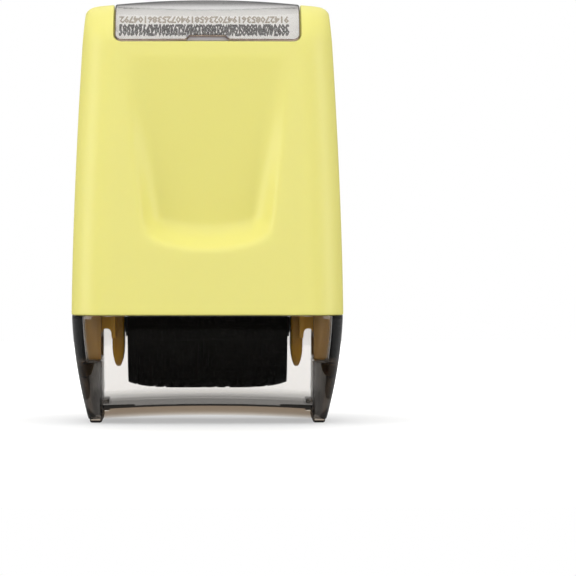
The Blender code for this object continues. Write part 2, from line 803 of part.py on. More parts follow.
def cap_half_depth(z, floor_half, floor_z):
    """Half the cap's depth: the shell's own at its rim, rounding in to the flat of its floor."""
    share = min(1.0, max(0.0, CAP_TOP - z) / (CAP_TOP - floor_z))
    swell = (1 - share**CAP_ROUNDNESS) ** (1 / CAP_ROUNDNESS)
    return floor_half + (BODY_DEPTH / 2 - CAP_FLOOR_HALF) * swell


def cap_ring(width_inset, depth_inset, half_depth, z, arch_share):
    """One level of the cap: a round-cornered rectangle, its middle lifted by the floor's arch."""
    half_width = cap_half_width(z) - width_inset
    flat = CAP_FLAT_HALF - depth_inset
    corner_x = half_width - flat
    corner_y = min(CORNER_RADIUS - depth_inset, half_depth / 2)
    quarter = [(flat * share, half_depth) for share in shares(WIDTH_STEPS // 4)[:-1]]
    for share in shares(CORNER_STEPS + 1):
        angle = pi / 2 * (1 - share)
        quarter.append((flat + corner_x * cos(angle), half_depth - corner_y * (1 - sin(angle))))
    front = [(-x, -y) for x, y in reversed(quarter)] + [(x, -y) for x, y in quarter[1:]]
    back = [(x, -y) for x, y in reversed(front)]
    ring = []
    for x, y in front + back:
        lift = FLOOR_ARCH * (1 - (2 * x / BODY_WIDTH) ** 2) * arch_share
        ring.append((x, y, z + lift))
    return ring


def cap_solid(name, width_inset, depth_inset, floor_inset, top, **kind):
    """The cap's outside, or with insets its hollow, from its rim down to its floor."""
    floor_half = CAP_FLOOR_HALF - depth_inset
    floor_z = FLOOR_LIFT + floor_inset
    rings = [] if top == CAP_TOP else [
        cap_ring(width_inset, depth_inset, BODY_DEPTH / 2 - depth_inset, top, 0.0)
    ]
    for share in shares(3 * CORNER_STEPS):
        angle = pi / 2 * share
        z = CAP_TOP - (CAP_TOP - floor_z) * sin(angle)
        y = cap_half_depth(z, floor_half, floor_z)
        rings.append(cap_ring(width_inset, depth_inset, y, z, sin(angle) ** 4))
    size = len(rings[0])
    points = [point for ring in rings for point in ring]
    faces = ring_faces(len(rings), size)
    for start in (0, (len(rings) - 1) * size):
        for row in range(size // 2 - 1):
            faces.append(
                (start + row, start + row + 1, start + size - 2 - row, start + size - 1 - row)
            )
    return new_object(name, mesh_of(name, points, faces), **kind)


def make_cap(surface):
    cap = cap_solid("cap_shell", 0.0, 0.0, 0.0, CAP_TOP, surface=surface)
    hollow = cap_solid(
        "cap_hollow", CAP_END_WALL, CAP_FACE_WALL, CAP_FLOOR, CAP_TOP + OVERRUN, cutter=True
    )
    cut(cap, hollow)
    foot_outer = cap_half_width(0.0) - FOOT_EDGE
    rib_outer = foot_outer - FOOT_WIDTH
    for side, name in ((-1, "left"), (1, "right")):
        x = sorted((side * (foot_outer - FOOT_WIDTH), side * foot_outer))
        foot = box(
            f"foot_{name}",
            (x[0], -FOOT_LENGTH / 2, 0.0),
            (x[1], FOOT_LENGTH / 2, FOOT_HEIGHT),
            cutter=True,
        )
        x = sorted((side * (rib_outer - REST_RIB_WIDTH), side * (rib_outer + FOOT_EDGE)))
        rib = box(
            f"rest_rib_{name}",
            (x[0], -REST_RIB_LENGTH / 2, FLOOR_LIFT + CAP_FLOOR / 2 + FLOOR_ARCH / 2),
            (x[1], REST_RIB_LENGTH / 2, REST_RIB_HEIGHT),
            cutter=True,
        )
        outer = BODY_WIDTH / 2 - CAP_END_WALL + TONGUE_THICKNESS
        x = sorted((side * (outer - TONGUE_THICKNESS), side * outer))
        tongue = prism(
            f"tongue_{name}",
            notch_outline(CAP_GAP, CAP_TOP - TONGUE_ROOT),
            "X",
            *x,
            cutter=True,
        )
        join(cap, foot, rib, tongue)
    return cap


def main():
    for leftover in list(bpy.data.objects):
        bpy.data.objects.remove(leftover)
    shell_yellow = material("shell_yellow", SHELL_YELLOW, 0.42)
    frame_yellow = material("frame_yellow", FRAME_YELLOW, 0.45)
    smoked_clear = material("smoked_clear", (0.10, 0.09, 0.09), 0.08, alpha=0.35)
    window_clear = material("window_clear", (0.55, 0.52, 0.52), 0.08, alpha=0.35)
    label_paper = material("label_paper", (0.80, 0.78, 0.76), 0.60)
    black_rubber = material("black_rubber", (0.015, 0.014, 0.014), 0.55)
    black_plastic = material("black_plastic", (0.03, 0.03, 0.03), 0.40)
    ink_foam = material("ink_foam", (0.02, 0.02, 0.025), 0.90)
    axle_steel = material("axle_steel", (0.60, 0.60, 0.62), 0.30, metallic=1.0)
    make_shell(shell_yellow)
    make_window(window_clear)
    make_label(label_paper)
    make_frame(frame_yellow)
    make_print_roller(black_rubber, black_plastic, axle_steel)
    make_ink_roller(ink_foam, black_plastic)
    make_cap(smoked_clear)


main()
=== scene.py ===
"""The looks of a privacy roller stamp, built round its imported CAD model."""

import bmesh
import bpy
import numpy as np
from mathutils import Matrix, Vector


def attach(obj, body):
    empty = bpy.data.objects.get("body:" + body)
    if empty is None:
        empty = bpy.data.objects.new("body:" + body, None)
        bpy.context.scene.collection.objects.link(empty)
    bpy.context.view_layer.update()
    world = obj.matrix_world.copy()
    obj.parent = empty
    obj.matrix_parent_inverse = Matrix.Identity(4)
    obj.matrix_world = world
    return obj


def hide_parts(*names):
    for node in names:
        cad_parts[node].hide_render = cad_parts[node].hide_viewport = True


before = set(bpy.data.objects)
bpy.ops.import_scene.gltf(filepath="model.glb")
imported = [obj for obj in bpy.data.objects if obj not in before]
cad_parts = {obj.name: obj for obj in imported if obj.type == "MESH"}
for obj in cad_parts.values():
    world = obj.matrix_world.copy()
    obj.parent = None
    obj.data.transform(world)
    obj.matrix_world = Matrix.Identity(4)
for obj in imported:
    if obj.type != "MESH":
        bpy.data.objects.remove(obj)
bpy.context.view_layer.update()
mm = 0.001

# The casing is one moulding in pale yellow plastic with a satin surface: two leaning faces
# joined by a round crown, a soft thumb dish in each face, and a sunk panel inside a narrow rim
# on each end. Its crown has a sunk seat for the index window.


def carried(start, end, step):
    """Places from start up to, not including, end, no further apart than the step."""
    count = max(1, int(np.ceil(abs(end - start) / step - 1e-9)))
    return np.linspace(start, end, count, endpoint=False)


def grid(*parts):
    """Points from their three coordinates, which are brought to one shape."""
    return np.stack(np.broadcast_arrays(*parts), axis=-1)


def rims(first, second):
    """The four strips that join the edges of two grids of the same size."""
    strips = [np.stack([first[row], second[row]]) for row in (0, -1)]
    return strips + [np.stack([first[:, row], second[:, row]]) for row in (0, -1)]


def placed(name, data):
    """A new object that shows the data, linked to the scene."""
    made = bpy.data.objects.new(name, data)
    bpy.context.scene.collection.objects.link(made)
    return made


def closed_mesh(name, patches, sharp=40.0):
    """One mesh from grids of points. Each grid is an array (rows, columns, 3) whose neighbouring
    points make quads; points that coincide are merged, and the faces are turned outwards."""
    points, quads, base = [], [], 0
    for patch in patches:
        rows, columns = patch.shape[:2]
        number = base + np.arange(rows * columns).reshape(rows, columns)
        corners = (number[:-1, :-1], number[1:, :-1], number[1:, 1:], number[:-1, 1:])
        quads.append(np.stack(corners, axis=-1).reshape(-1, 4))
        points.append(patch.reshape(-1, 3))
        base += rows * columns
    mesh = bpy.data.meshes.new(name)
    quads, points = np.concatenate(quads), np.concatenate(points)
    mesh.vertices.add(len(points))
    mesh.vertices.foreach_set("co", points.astype(np.float32).ravel())
    mesh.loops.add(quads.size)
    mesh.loops.foreach_set("vertex_index", quads.astype(np.int32).ravel())
    mesh.polygons.add(len(quads))
    mesh.polygons.foreach_set("loop_start", np.arange(0, quads.size, 4, dtype=np.int32))
    mesh.update(calc_edges=True)
    shape = bmesh.new()
    shape.from_mesh(mesh)
    bmesh.ops.remove_doubles(shape, verts=shape.verts, dist=1.5e-6)
    bmesh.ops.dissolve_degenerate(shape, edges=shape.edges, dist=1e-7)
    loose = [edge for edge in shape.edges if not edge.link_faces]
    bmesh.ops.delete(shape, geom=loose, context="EDGES")
    bmesh.ops.recalc_face_normals(shape, faces=shape.faces)
    if shape.calc_volume(signed=True) < 0:
        bmesh.ops.reverse_faces(shape, faces=shape.faces)
    shape.to_mesh(mesh)
    shape.free()
    mesh.shade_smooth()
    mesh.set_sharp_from_angle(angle=np.radians(sharp))
    return placed(name, mesh)


def outward(points):
    """The unit normal at each point of a grid: the cross product of its two directions."""
    normal = np.cross(np.gradient(points, axis=1), np.gradient(points, axis=0))
    return normal / np.maximum(np.linalg.norm(normal, axis=-1, keepdims=True), 1e-12)


def smooth(value):
    """The cubic ease from 0 to 1."""
    value = np.clip(value, 0, 1)
    return value * value * (3 - 2 * value)


casing_width = 42.0
casing_depth = 31.0
split_height = 16.9
crest_width = 38.2
crest_height = 66.0
crest_crown = 1.25
arch_radius = 8.4
arch_centre = crest_height - arch_radius
rise = arch_centre - split_height
reach = np.hypot(casing_depth / 2, rise)
face_lean = np.arccos(arch_radius / reach) - np.arctan2(rise, casing_depth / 2)
face_length = (arch_centre + arch_radius * np.sin(face_lean) - split_height) / np.cos(face_lean)
girth = 2 * face_length + arch_radius * (np.pi - 2 * face_lean)
corner_radius = 6.0
corner_sweep = np.radians(65)
inner_corner = 3.1
edge_radius = 0.8
foot_round = 0.25
corner_inset = corner_radius * (1 - np.cos(corner_sweep))
rim_inset = corner_inset + edge_radius * np.cos(corner_sweep)
panel_inset = corner_inset + 1.2
panel_recess = 0.9
panel_rounds = (0.18, 0.15)
straight_half = 15.0
face_wall = 1.5
end_wall = 2.4
seat_edge = face_length + arch_radius * (np.arcsin(1.8 / arch_radius) - face_lean)
seat_half = crest_width / 2 - 4.7 + 0.15
seat_corner = 1.2
seat_depth = 1.8
seat_rounds = (0.22, 0.15)
wall_draft = 0.02


def from_end(s):
    """The distance from the nearer of the two feet, along the side outline."""
    return np.minimum(s, girth - s)


def half_width(z):
    """Half the casing's width at a height: it draws in towards the crown by a power law."""
    share = np.clip((z - split_height) / (65.2 - split_height), 0, 1.02)
    return (casing_width - (casing_width - crest_width) * share**1.6) / 2


def side_profile(s):
    """The side outline at the distance s from the front foot: a leaning line, an arc and a
    leaning line. Returns y, z and the outward direction there."""
    near = from_end(s)
    angle = face_lean + np.maximum(near - face_length, 0) / arch_radius
    on_face = near < face_length
    line_y = casing_depth / 2 - near * np.sin(face_lean)
    y = np.where(on_face, line_y, arch_radius * np.cos(angle))
    line_z = split_height + near * np.cos(face_lean)
    z = np.where(on_face, line_z, arch_centre + arch_radius * np.sin(angle))
    side = np.where(s < girth / 2, -1.0, 1.0)
    return side * y, z, side * np.cos(angle), np.sin(angle)


def dish_depth(x, z):
    """How far the thumb dish sinks below a face: deepest at its foot and running out to nothing
    at its top, between side walls and above a lower wall that sags in the middle. Each wall
    drops soonest at its edge and blends into the floor by a power law."""
    low, high = split_height + 9.9, arch_centre - 0.6
    share = (z - low) / (high - low)
    low_half, high_half = casing_width / 2 - 11.1, casing_width / 2 - 7.6
    half = low_half + (high_half - low_half) * share
    foot = low + 2.0 * (x / low_half) ** 2
    deepest = 3.9 * np.clip(1 - share, 0, None)
    walls = [np.clip(way, 0, 1) for way in ((half - np.abs(x)) / 3.8, (z - foot) / 4.4)]
    beside, below = (1 - (1 - 1.2 * way * way / (way + 0.2)) ** 2 for way in walls)
    return deepest * beside * below


def casing_point(s, x, inset):
    """A point on the smooth casing: the side outline at s, carried out to x, drawn in by the
    inset of the rounded corner and pressed in by the thumb dish. The crown lowers it by a
    square law that flattens out beside the window, and at the very end more steeply."""
    y, z, out_y, out_z = side_profile(s)
    weight = np.clip(out_z - np.sin(face_lean), 0, None) / (1 - np.sin(face_lean))
    share = (2 * x / crest_width) ** 2
    crown = crest_crown * (share - np.clip(share - 0.5, 0, None) ** 2) * weight
    squash = 1.3 * (np.clip(inset, 0, rim_inset) / rim_inset) ** 2.5 * weight
    y = y - inset * out_y - np.sign(y) * dish_depth(x, z)
    return grid(x, y, z - squash - crown)


def seat_inside(s, x):
    """How far a place lies inside the window seat's square outline."""
    return np.minimum(from_end(s) - seat_edge, seat_half - np.abs(x))


def seat_bent(s, x, notch=0.0):
    """Moves the grid so that its square corners at the window seat become round, and so that
    its front edge steps up by the notch in the middle, where a finger nail lifts the window."""
    down = (seat_edge + seat_corner - from_end(s)) / seat_corner
    out = (np.abs(x) - seat_half + seat_corner) / seat_corner
    size = np.maximum(np.maximum(down, out), 1e-6)
    p, q = np.clip(down / size, 0, 1), np.clip(out / size, 0, 1)
    strength = smooth((2.6 - size) / 1.2) * (down > 0) * (out > 0)
    new_down = down + strength * (size * p * np.sqrt(1 - q * q / 2) - down)
    new_out = out + strength * (size * q * np.sqrt(1 - p * p / 2) - out)
    near = seat_edge + seat_corner - new_down * seat_corner
    bent = seat_half - seat_corner + new_out * seat_corner
    x = np.sign(x) * np.where(out > 0, bent, np.abs(x))
    step = notch * smooth((3.3 - np.abs(x)) / 0.45) * (s < girth / 2)
    near = near + step * smooth((3.0 - np.abs(near - seat_edge)) / 2.4)
    return np.where(s < girth / 2, near, girth - near), x


def step_places(convex, concave):
    """The places across a sunk edge that its two small roundings need, from outside to inside."""
    turn = np.linspace(0, np.pi / 2, 4)
    return np.concatenate([-convex * np.cos(turn), wall_draft + concave * (1 - np.cos(turn))])


def step_depth(inside, convex, concave, depth):
    """The depth of a sunk area by the distance inside its outline: a small rounding outside, a
    steep wall, a small rounding at its foot, and then the full depth."""
    outer = convex - np.sqrt(np.maximum(convex**2 - np.clip(inside + convex, 0, convex) ** 2, 0))
    wall = (depth - convex - concave) * np.clip(inside / wall_draft, 0, 1)
    past = np.clip(inside - wall_draft, 0, concave)
    return outer + wall + np.sqrt(np.maximum(concave**2 - (concave - past) ** 2, 0))


def casing_rows():
    """The rows' places from the front foot, up over the crown and down to the back foot."""
    edge = seat_edge + step_places(*seat_rounds)
    foot = foot_round * (1 - np.sin(np.linspace(0, np.pi / 2, 5)))[::-1]
    up, over = carried(foot_round, edge[0], 0.55), carried(edge[-1], girth / 2, 0.5)
    front = np.concatenate([foot, up[1:], edge, over[1:], [girth / 2]])
    return np.concatenate([front, girth - front[-2::-1]])


def notch_line(s, rim_y, rim_z):
    """The arched notch at the foot of an end wall, one point for each row: up beside the rim,
    round a corner and over to the middle."""
    high, corner = split_height + 7.8, 4.5
    near = from_end(s)
    rising = slice(len(s) // 2)
    start = np.interp(high - corner, rim_z[rising], near[rising])
    half = np.interp(high - corner, rim_z[rising], np.abs(rim_y[rising])) - 0.12
    arc = corner * np.pi / 2
    way = np.clip((near - start) / (girth / 2 - start), 0, 1) * (arc + half - corner)
    angle = np.clip(way / corner, 0, np.pi / 2)
    y = half - corner + corner * np.cos(angle) - np.clip(way - arc, 0, None)
    z = high - corner + corner * np.sin(angle)
    ease = 0.08 + 0.04 * smooth(near / start)
    y = np.where(near < start, np.abs(rim_y) - ease, y)
    return np.where(s < girth / 2, -y, y), np.where(near < start, rim_z, z)


def casing_skins():
    """The outer skin and the inner skin, as grids with the same rows and columns. A row runs
    round the end, across the faces and round the other end; a column runs over the crown."""
    rows = casing_rows()[:, None]
    edge = seat_half - step_places(*seat_rounds)[::-1]
    beyond = carried(edge[-1], straight_half, 0.3)[1:]
    across = np.concatenate([carried(0, edge[0], 0.45), edge, beyond])
    flat_s, flat_x = np.broadcast_arrays(rows, across[None, :])
    bent_s, bent_x = seat_bent(flat_s, flat_x)
    flat = half_width(side_profile(rows)[1]) - corner_radius * np.sin(corner_sweep)
    flat = flat - edge_radius * (1 - np.sin(corner_sweep))
    over = np.arcsin(np.clip((bent_x - flat) / corner_radius, 0, 1))
    middle = casing_point(bent_s, bent_x, corner_radius * (1 - np.cos(over)))

    turned = corner_radius * np.arcsin(np.clip((straight_half - flat) / corner_radius, 0, 1))
    start = np.where(straight_half > flat, turned, straight_half - flat)
    length = start + (corner_radius * corner_sweep - start) * np.linspace(0, 1, 15)[None, :]
    angle = np.clip(length / corner_radius, 0, None)
    corner_x = flat + np.where(length < 0, length, corner_radius * np.sin(angle))
    inset = corner_radius * (1 - np.cos(angle))
    small = np.linspace(corner_sweep, np.pi / 2, 5)[None, 1:]
    edge_x = corner_x[:, -1:] + edge_radius * (np.sin(small) - np.sin(corner_sweep))
    edge_inset = inset[:, -1:] + edge_radius * (np.cos(corner_sweep) - np.cos(small))
    rim = np.concatenate([[rim_inset + 0.3], panel_inset + step_places(*panel_rounds)])[None, :]
    rim_x = np.broadcast_to(edge_x[:, -1:], (len(rows), rim.shape[1]))
    rim = np.broadcast_to(rim, rim_x.shape)
    end_x = np.concatenate([corner_x, edge_x, rim_x], axis=1)
    end_inset = np.concatenate([inset, edge_inset, rim], axis=1)
    end = casing_point(rows, end_x, end_inset)

    last = end[:, -1]
    notch = notch_line(rows[:, 0], last[:, 1], last[:, 2])
    share = np.concatenate([np.linspace(0, 1, 15)[1:-1], 1 - np.array([0.03, 0.012, 0.003, 0])])
    panel_y, panel_z = (
        last[:, axis : axis + 1] + (notch[axis - 1][:, None] - last[:, axis : axis + 1]) * share
        for axis in (1, 2)
    )
    panel_x = half_width(np.maximum(panel_z, split_height))
    panel = grid(panel_x, panel_y, panel_z)
    seat_floor = arch_radius - seat_depth
    floor = np.stack([bent_x, *side_profile(bent_s)[2:]], axis=-1) * (1, seat_floor, seat_floor)
    floor[..., 2] += arch_centre
    sunk = step_depth(seat_inside(flat_s, flat_x), *seat_rounds, seat_depth) / seat_depth
    sunk_middle = middle + (floor - middle) * sunk[..., None]
    outer = np.concatenate([sunk_middle, end[:, 1:], panel], axis=1)

    recess = step_depth(end_inset[:, 1:] - panel_inset, *panel_rounds, panel_recess)
    depth = np.concatenate([0 * sunk, recess, panel_recess + 0 * panel_x], axis=1)
    near = from_end(rows)
    foot = foot_round - np.sqrt(foot_round**2 - np.clip(foot_round - near, 0, foot_round) ** 2)
    normal = outward(outer)
    normal[:, middle.shape[1] + end.shape[1] - rim.shape[1] - 1 :] = (1, 0, 0)
    normal[near[:, 0] < 0.3, :, 2] = 0
    outer = outer - normal * (depth + foot)[..., None]

    arch = smooth((near - face_length + 1.5) / 2.5)
    wall = face_wall + seat_depth * arch
    inner_turn = np.clip(length / (corner_radius * corner_sweep), 0, 1) * np.pi / 2
    in_corner_x = flat + np.where(length < 0, length, inner_corner * np.sin(inner_turn))
    in_inset = inner_corner * (1 - np.cos(inner_turn))
    count = edge_x.shape[1] + rim_x.shape[1]
    tail_x = np.broadcast_to(in_corner_x[:, -1:], (len(rows), count))
    tail_inset = in_inset[:, -1:] + np.linspace(0, 0.2, count + 1)[None, 1:]
    in_x = np.concatenate([in_corner_x, tail_x], axis=1)
    in_inset = np.concatenate([in_inset, tail_inset + 0 * tail_x], axis=1)
    _, _, out_y, out_z = side_profile(rows)
    level = out_y + (np.sign(out_y) / np.cos(face_lean) - out_y) * (1 - arch)
    direction = grid(0 * rows, level, out_z * arch) * wall[..., None]
    in_end = casing_point(rows, in_x, in_inset) - direction
    in_panel = panel.copy()
    in_panel[..., 0] -= end_wall
    blend = np.maximum(smooth(share / 0.5)[None, :], share)[..., None]
    edge = in_end[:, -1:, 1:]
    in_panel[..., 1:] = edge + (panel[..., 1:] - edge) * blend
    inner = np.concatenate([middle - direction, in_end[:, 1:], in_panel], axis=1)
    inner[[0, -1], :, 2] = split_height
    inner[:, -1, 1:] = outer[:, -1, 1:]
    mirror = np.array([-1, 1, 1])
    return [
        np.concatenate([(skin * mirror)[:, :0:-1], skin], axis=1) * mm for skin in (outer, inner)
    ]


def make_casing():
    outer, inner = casing_skins()
    return closed_mesh("casing", [outer, inner, *rims(outer, inner)])


def new_material(name):
    """A material with its node tree and its Principled shader."""
    made = bpy.data.materials.new(name)
    made.use_nodes = True
    return made, made.node_tree, made.node_tree.nodes["Principled BSDF"]


def feed(tree, node, inputs):
    """Sets each named input of a node to a value, or links it to another node's output."""
    for name, value in inputs.items():
        if isinstance(value, bpy.types.NodeSocket):
            tree.links.new(value, node.inputs[name])
        else:
            node.inputs[name].default_value = value


def wired(tree, kind, output, inputs=(), **settings):
    """Adds a shader node with its settings and inputs, and returns its named output."""
    made = tree.nodes.new("ShaderNode" + kind)
    for name, value in settings.items():
        setattr(made, name, value)
    feed(tree, made, dict(inputs))
    return made.outputs[output]


def noise(tree, place, scale, detail):
    settings = {"Vector": place, "Scale": scale, "Detail": detail}
    return wired(tree, "TexNoise", "Fac", settings)


def mixed(tree, factor, first, second):
    """The colour between two colours, by a factor."""
    inputs = {"Factor": factor, "A": (*first, 1), "B": (*second, 1)}
    return wired(tree, "Mix", "Result", inputs, data_type="RGBA")


def ranged(tree, value, low, high, start=0.0, end=1.0, ease="LINEAR"):
    """Low up to the value start, high from the value end, and in between by the ease."""
    inputs = {"Value": value, "From Min": start, "From Max": end, "To Min": low, "To Max": high}
    return wired(tree, "MapRange", "Result", inputs, interpolation_type=ease)


def bumped(tree, height, strength, distance):
    inputs = {"Height": height, "Strength": strength, "Distance": distance}
    return wired(tree, "Bump", "Normal", inputs)


def moulded_plastic(name, colour, roughness, grain, scatter):
    """Moulded plastic: one colour with a slow drift, a fine satin grain and a little scatter."""
    made, tree, shader = new_material(name)
    place = wired(tree, "TexCoord", "Object")
    drift = noise(tree, place, 60, 2)
    darker = [channel * 0.985 for channel in colour]
    paler = [min(channel * 1.015, 1) for channel in colour]
    look = {
        "Base Color": mixed(tree, drift, darker, paler),
        "Roughness": ranged(tree, drift, roughness - 0.04, roughness + 0.04),
        "Normal": bumped(tree, noise(tree, place, 2600, 3), grain, 0.00004),
        "Subsurface Weight": scatter,
        "Subsurface Radius": (0.0016, 0.0012, 0.0004),
        "Subsurface Scale": 1.0,
        "IOR": 1.49,
    }
    feed(tree, shader, look)
    return made


casing = make_casing()
casing_plastic = moulded_plastic("casing_plastic", (0.765, 0.712, 0.200), 0.42, 0.25, 0.12)
casing.data.materials.append(casing_plastic)
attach(casing, "housing")
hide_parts("outer_shell")

# The index window is a clear curved strip that lies flush in the crown's seat and is held by
# four snap legs. Its edges and corners are rounded, and its front edge has a notch with a thin
# frosted lip, where a finger nail lifts it.

window_gap = 0.15
window_edge = 0.3
window_inner_radius = 7.05


def rounded_block(low, high, radius):
    """The six sides of a box with rounded edges: each point of a side is taken to the nearest
    point of the smaller box inside, and then out again by the radius."""
    low, high = np.array(low, float), np.array(high, float)
    turn = radius * (1 - np.cos(np.linspace(0, np.pi / 2, 4)))
    patches = []
    for axis in range(3):
        spans = zip(np.delete(low, axis), np.delete(high, axis))
        places = [np.concatenate([a + turn, b - turn[::-1]]) for a, b in spans]
        flat = np.stack(np.meshgrid(*places, indexing="ij"), axis=-1)
        for level in (low[axis], high[axis]):
            side = np.insert(flat, axis, level, axis=-1)
            core = np.clip(side, low + radius, high - radius)
            away = side - core
            away = away / np.maximum(np.linalg.norm(away, axis=-1, keepdims=True), 1e-9)
            patches.append((core + radius * away) * mm)
    return patches


def turned_points(x, radius, angle, height):
    """Points on a surface of revolution about an axis along X at the given height."""
    return grid(x, -radius * np.cos(angle), height + radius * np.sin(angle)) * mm


def window_skins():
    """The window's upper and lower face on one grid. The upper face follows the crown with its
    edges rounded off by a quarter circle; the lower face is part of a cylinder."""
    turn = window_edge * (1 - np.cos(np.linspace(0, np.pi / 2, 5)))
    first = seat_edge + window_gap
    over = carried(first + window_edge, girth / 2, 0.45)[1:]
    front = np.concatenate([first + turn, over, [girth / 2]])
    rows = np.concatenate([front, girth - front[-2::-1]])[:, None]
    end = seat_half - window_gap
    half = np.concatenate([carried(0, end - window_edge, 0.4), end - turn[::-1]])
    columns = np.concatenate([-half[:0:-1], half])[None, :]
    s, x = np.broadcast_arrays(rows, columns)
    past = np.clip(window_edge - (seat_inside(s, x) - window_gap), 0, window_edge)
    round_off = window_edge - np.sqrt(np.maximum(window_edge**2 - past**2, 0))
    s, x = seat_bent(s, x, 0.65)
    _, _, out_y, out_z = side_profile(s)
    upper = casing_point(s, x, 0.0) + (0.05 - round_off)[..., None] * grid(0 * x, out_y, out_z)
    radius = window_inner_radius
    return upper * mm, grid(x, radius * out_y, arch_centre + radius * out_z) * mm


def face_values(mesh, name):
    """A vector of each face, as an array: its centre or its normal."""
    values = np.zeros(len(mesh.polygons) * 3)
    mesh.polygons.foreach_get(name, values)
    return values.reshape(-1, 3)


def mark_faces(mesh, name, values):
    """Keeps a number for each face, which the face's material can read by name."""
    mesh.attributes.new(name, "FLOAT", "FACE").data.foreach_set("value", values)


def make_window():
    """The window and its legs. The narrow faces at its edges are marked, so that its material
    paints them with shade.
    """
    upper, lower = window_skins()
    patches = [upper, lower, *rims(upper, lower)]
    for x in (-8.0, 8.0):
        for y in (-7.02, 7.02):
            patches += rounded_block((x - 1.5, y - 0.45, 56.4), (x + 1.5, y + 0.45, 59.5), 0.18)
    made = closed_mesh("index_window_clear", patches, 35)
    radial = face_values(made.data, "center") * (0, 1, 1) - (0, 0, arch_centre * mm)
    distance = np.linalg.norm(radial, axis=1)
    facing = np.abs((radial * face_values(made.data, "normal")).sum(axis=1)) / distance
    # Faces at the edges are marked for painted shade.
    at_edge = (facing < 0.9) & (distance > 7.5 * mm)
    mark_faces(made.data, "edge", at_edge.astype(float))
    return made


def clear_plastic(name, roughness, absorb, density, ripple):
    """Clear moulded plastic: fully transmitting, tinted through its thickness by a constant
    absorption, with a faint moulding ripple and slight differences in its polish."""
    made, tree, shader = new_material(name)
    wave = noise(tree, wired(tree, "TexCoord", "Object"), 90, 1)
    look = {
        "Base Color": (1, 1, 1, 1),
        "Transmission Weight": 1.0,
        "IOR": 1.49,
        "Roughness": ranged(tree, wave, max(roughness - 0.015, 0), roughness + 0.015),
        "Normal": bumped(tree, wave, ripple, 0.0002),
    }
    feed(tree, shader, look)
    tint = {"Color": (*absorb, 1), "Density": density}
    tint = wired(tree, "VolumeAbsorption", "Volume", tint)
    tree.links.new(tint, tree.nodes["Material Output"].inputs["Volume"])
    return made


def calculated(tree, operation, *values):
    """The result of a sum on numbers or other nodes' outputs."""
    return wired(tree, "Math", "Value", enumerate(values), operation=operation)


# The window's colour is painted with shade: by half where its crest is seen at a low angle, and
# fully at its edges, standing in for the dark rim and brown outline of the tinted plastic.
window_clear = clear_plastic("window_clear_plastic", 0.03, (0.78, 0.74, 0.68), 70, 0.10)
tree = window_clear.node_tree
low_angle = ranged(tree, wired(tree, "LayerWeight", "Facing"), 0, 0.5, 0.42, 0.75, "SMOOTHSTEP")
place = wired(tree, "TexCoord", "Object")
height = wired(tree, "SeparateXYZ", "Z", {"Vector": place})
crest_painted_shade = calculated(tree, "MULTIPLY", low_angle, ranged(tree, height, 0, 1, 0.0625, 0.0645))
edge = wired(tree, "Attribute", "Fac", attribute_name="edge")
painted_shade = calculated(tree, "MAXIMUM", crest_painted_shade, edge)
# This mix paints shade into the window's colour: dark brown at the marked edges and the low-seen
# crest.
tint = mixed(tree, painted_shade, (1, 1, 1), (0.16, 0.10, 0.07))
feed(tree, tree.nodes["Principled BSDF"], {"Base Color": tint})
index_window = make_window()
index_window.data.materials.append(window_clear)
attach(index_window, "window")
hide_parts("index_window")


def make_nail_lip():
    """The lip: a block with rounded edges, laid out by length, distance round the crown and
    radius, and bent round the crown below the window's notch."""
    patches = []
    for patch in rounded_block((-3.3, window_gap, 7.15), (3.3, 1.1, 7.9), 0.12):
        x, along, radius = np.moveaxis(patch / mm, -1, 0)
        angle = face_lean + (seat_edge + along - face_length) / arch_radius
        patches.append(turned_points(x, radius, angle, arch_centre))
    return closed_mesh("window_nail_lip", patches, 35)


nail_lip = make_nail_lip()
frosted = clear_plastic("window_frosted_plastic", 0.5, (0.80, 0.76, 0.80), 300, 0.3)
look = {"Transmission Weight": 0.35, "Base Color": (0.60, 0.56, 0.60, 1)}
feed(frosted.node_tree, frosted.node_tree.nodes["Principled BSDF"], look)
nail_lip.data.materials.append(frosted)
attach(nail_lip, "window")

# The index label is a strip of coated paper that lies round the seat's floor under the window.
# It shows the masking pattern: a row of crowded dark figures, a fainter brown row turned over,
# a white band, and the dense black mask along the top.

label_radius = 6.9
label_half = 14.25
label_foot = np.arcsin((59.75 - arch_centre) / label_radius)


def make_label():
    """A bent sheet 0.2 mm thick: a grid over the angle and the length, once at each radius."""
    angle = np.linspace(label_foot, np.pi - label_foot, 61)[:, None]
    x = np.linspace(-label_half, label_half, 55)[None, :]
    faces = [
        turned_points(x, radius, angle, arch_centre)
        for radius in (label_radius, label_radius - 0.2)
    ]
    return closed_mesh("label_sheet", [*faces, *rims(*faces)])


def coated_paper(name, colour):
    """Coated white paper: a faint fibre drift in its colour and a low, uneven sheen."""
    made, tree, shader = new_material(name)
    fibre = noise(tree, wired(tree, "TexCoord", "Object"), 900, 4)
    look = {
        "Base Color": mixed(tree, fibre, [channel * 0.94 for channel in colour], colour),
        "Roughness": 0.5,
        "Normal": bumped(tree, fibre, 0.2, 0.00002),
    }
    feed(tree, shader, look)
    return made


label_sheet = make_label()
label_sheet.data.materials.append(coated_paper("label_paper_white", (0.96, 0.94, 0.91)))
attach(label_sheet, "housing")
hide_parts("index_label")


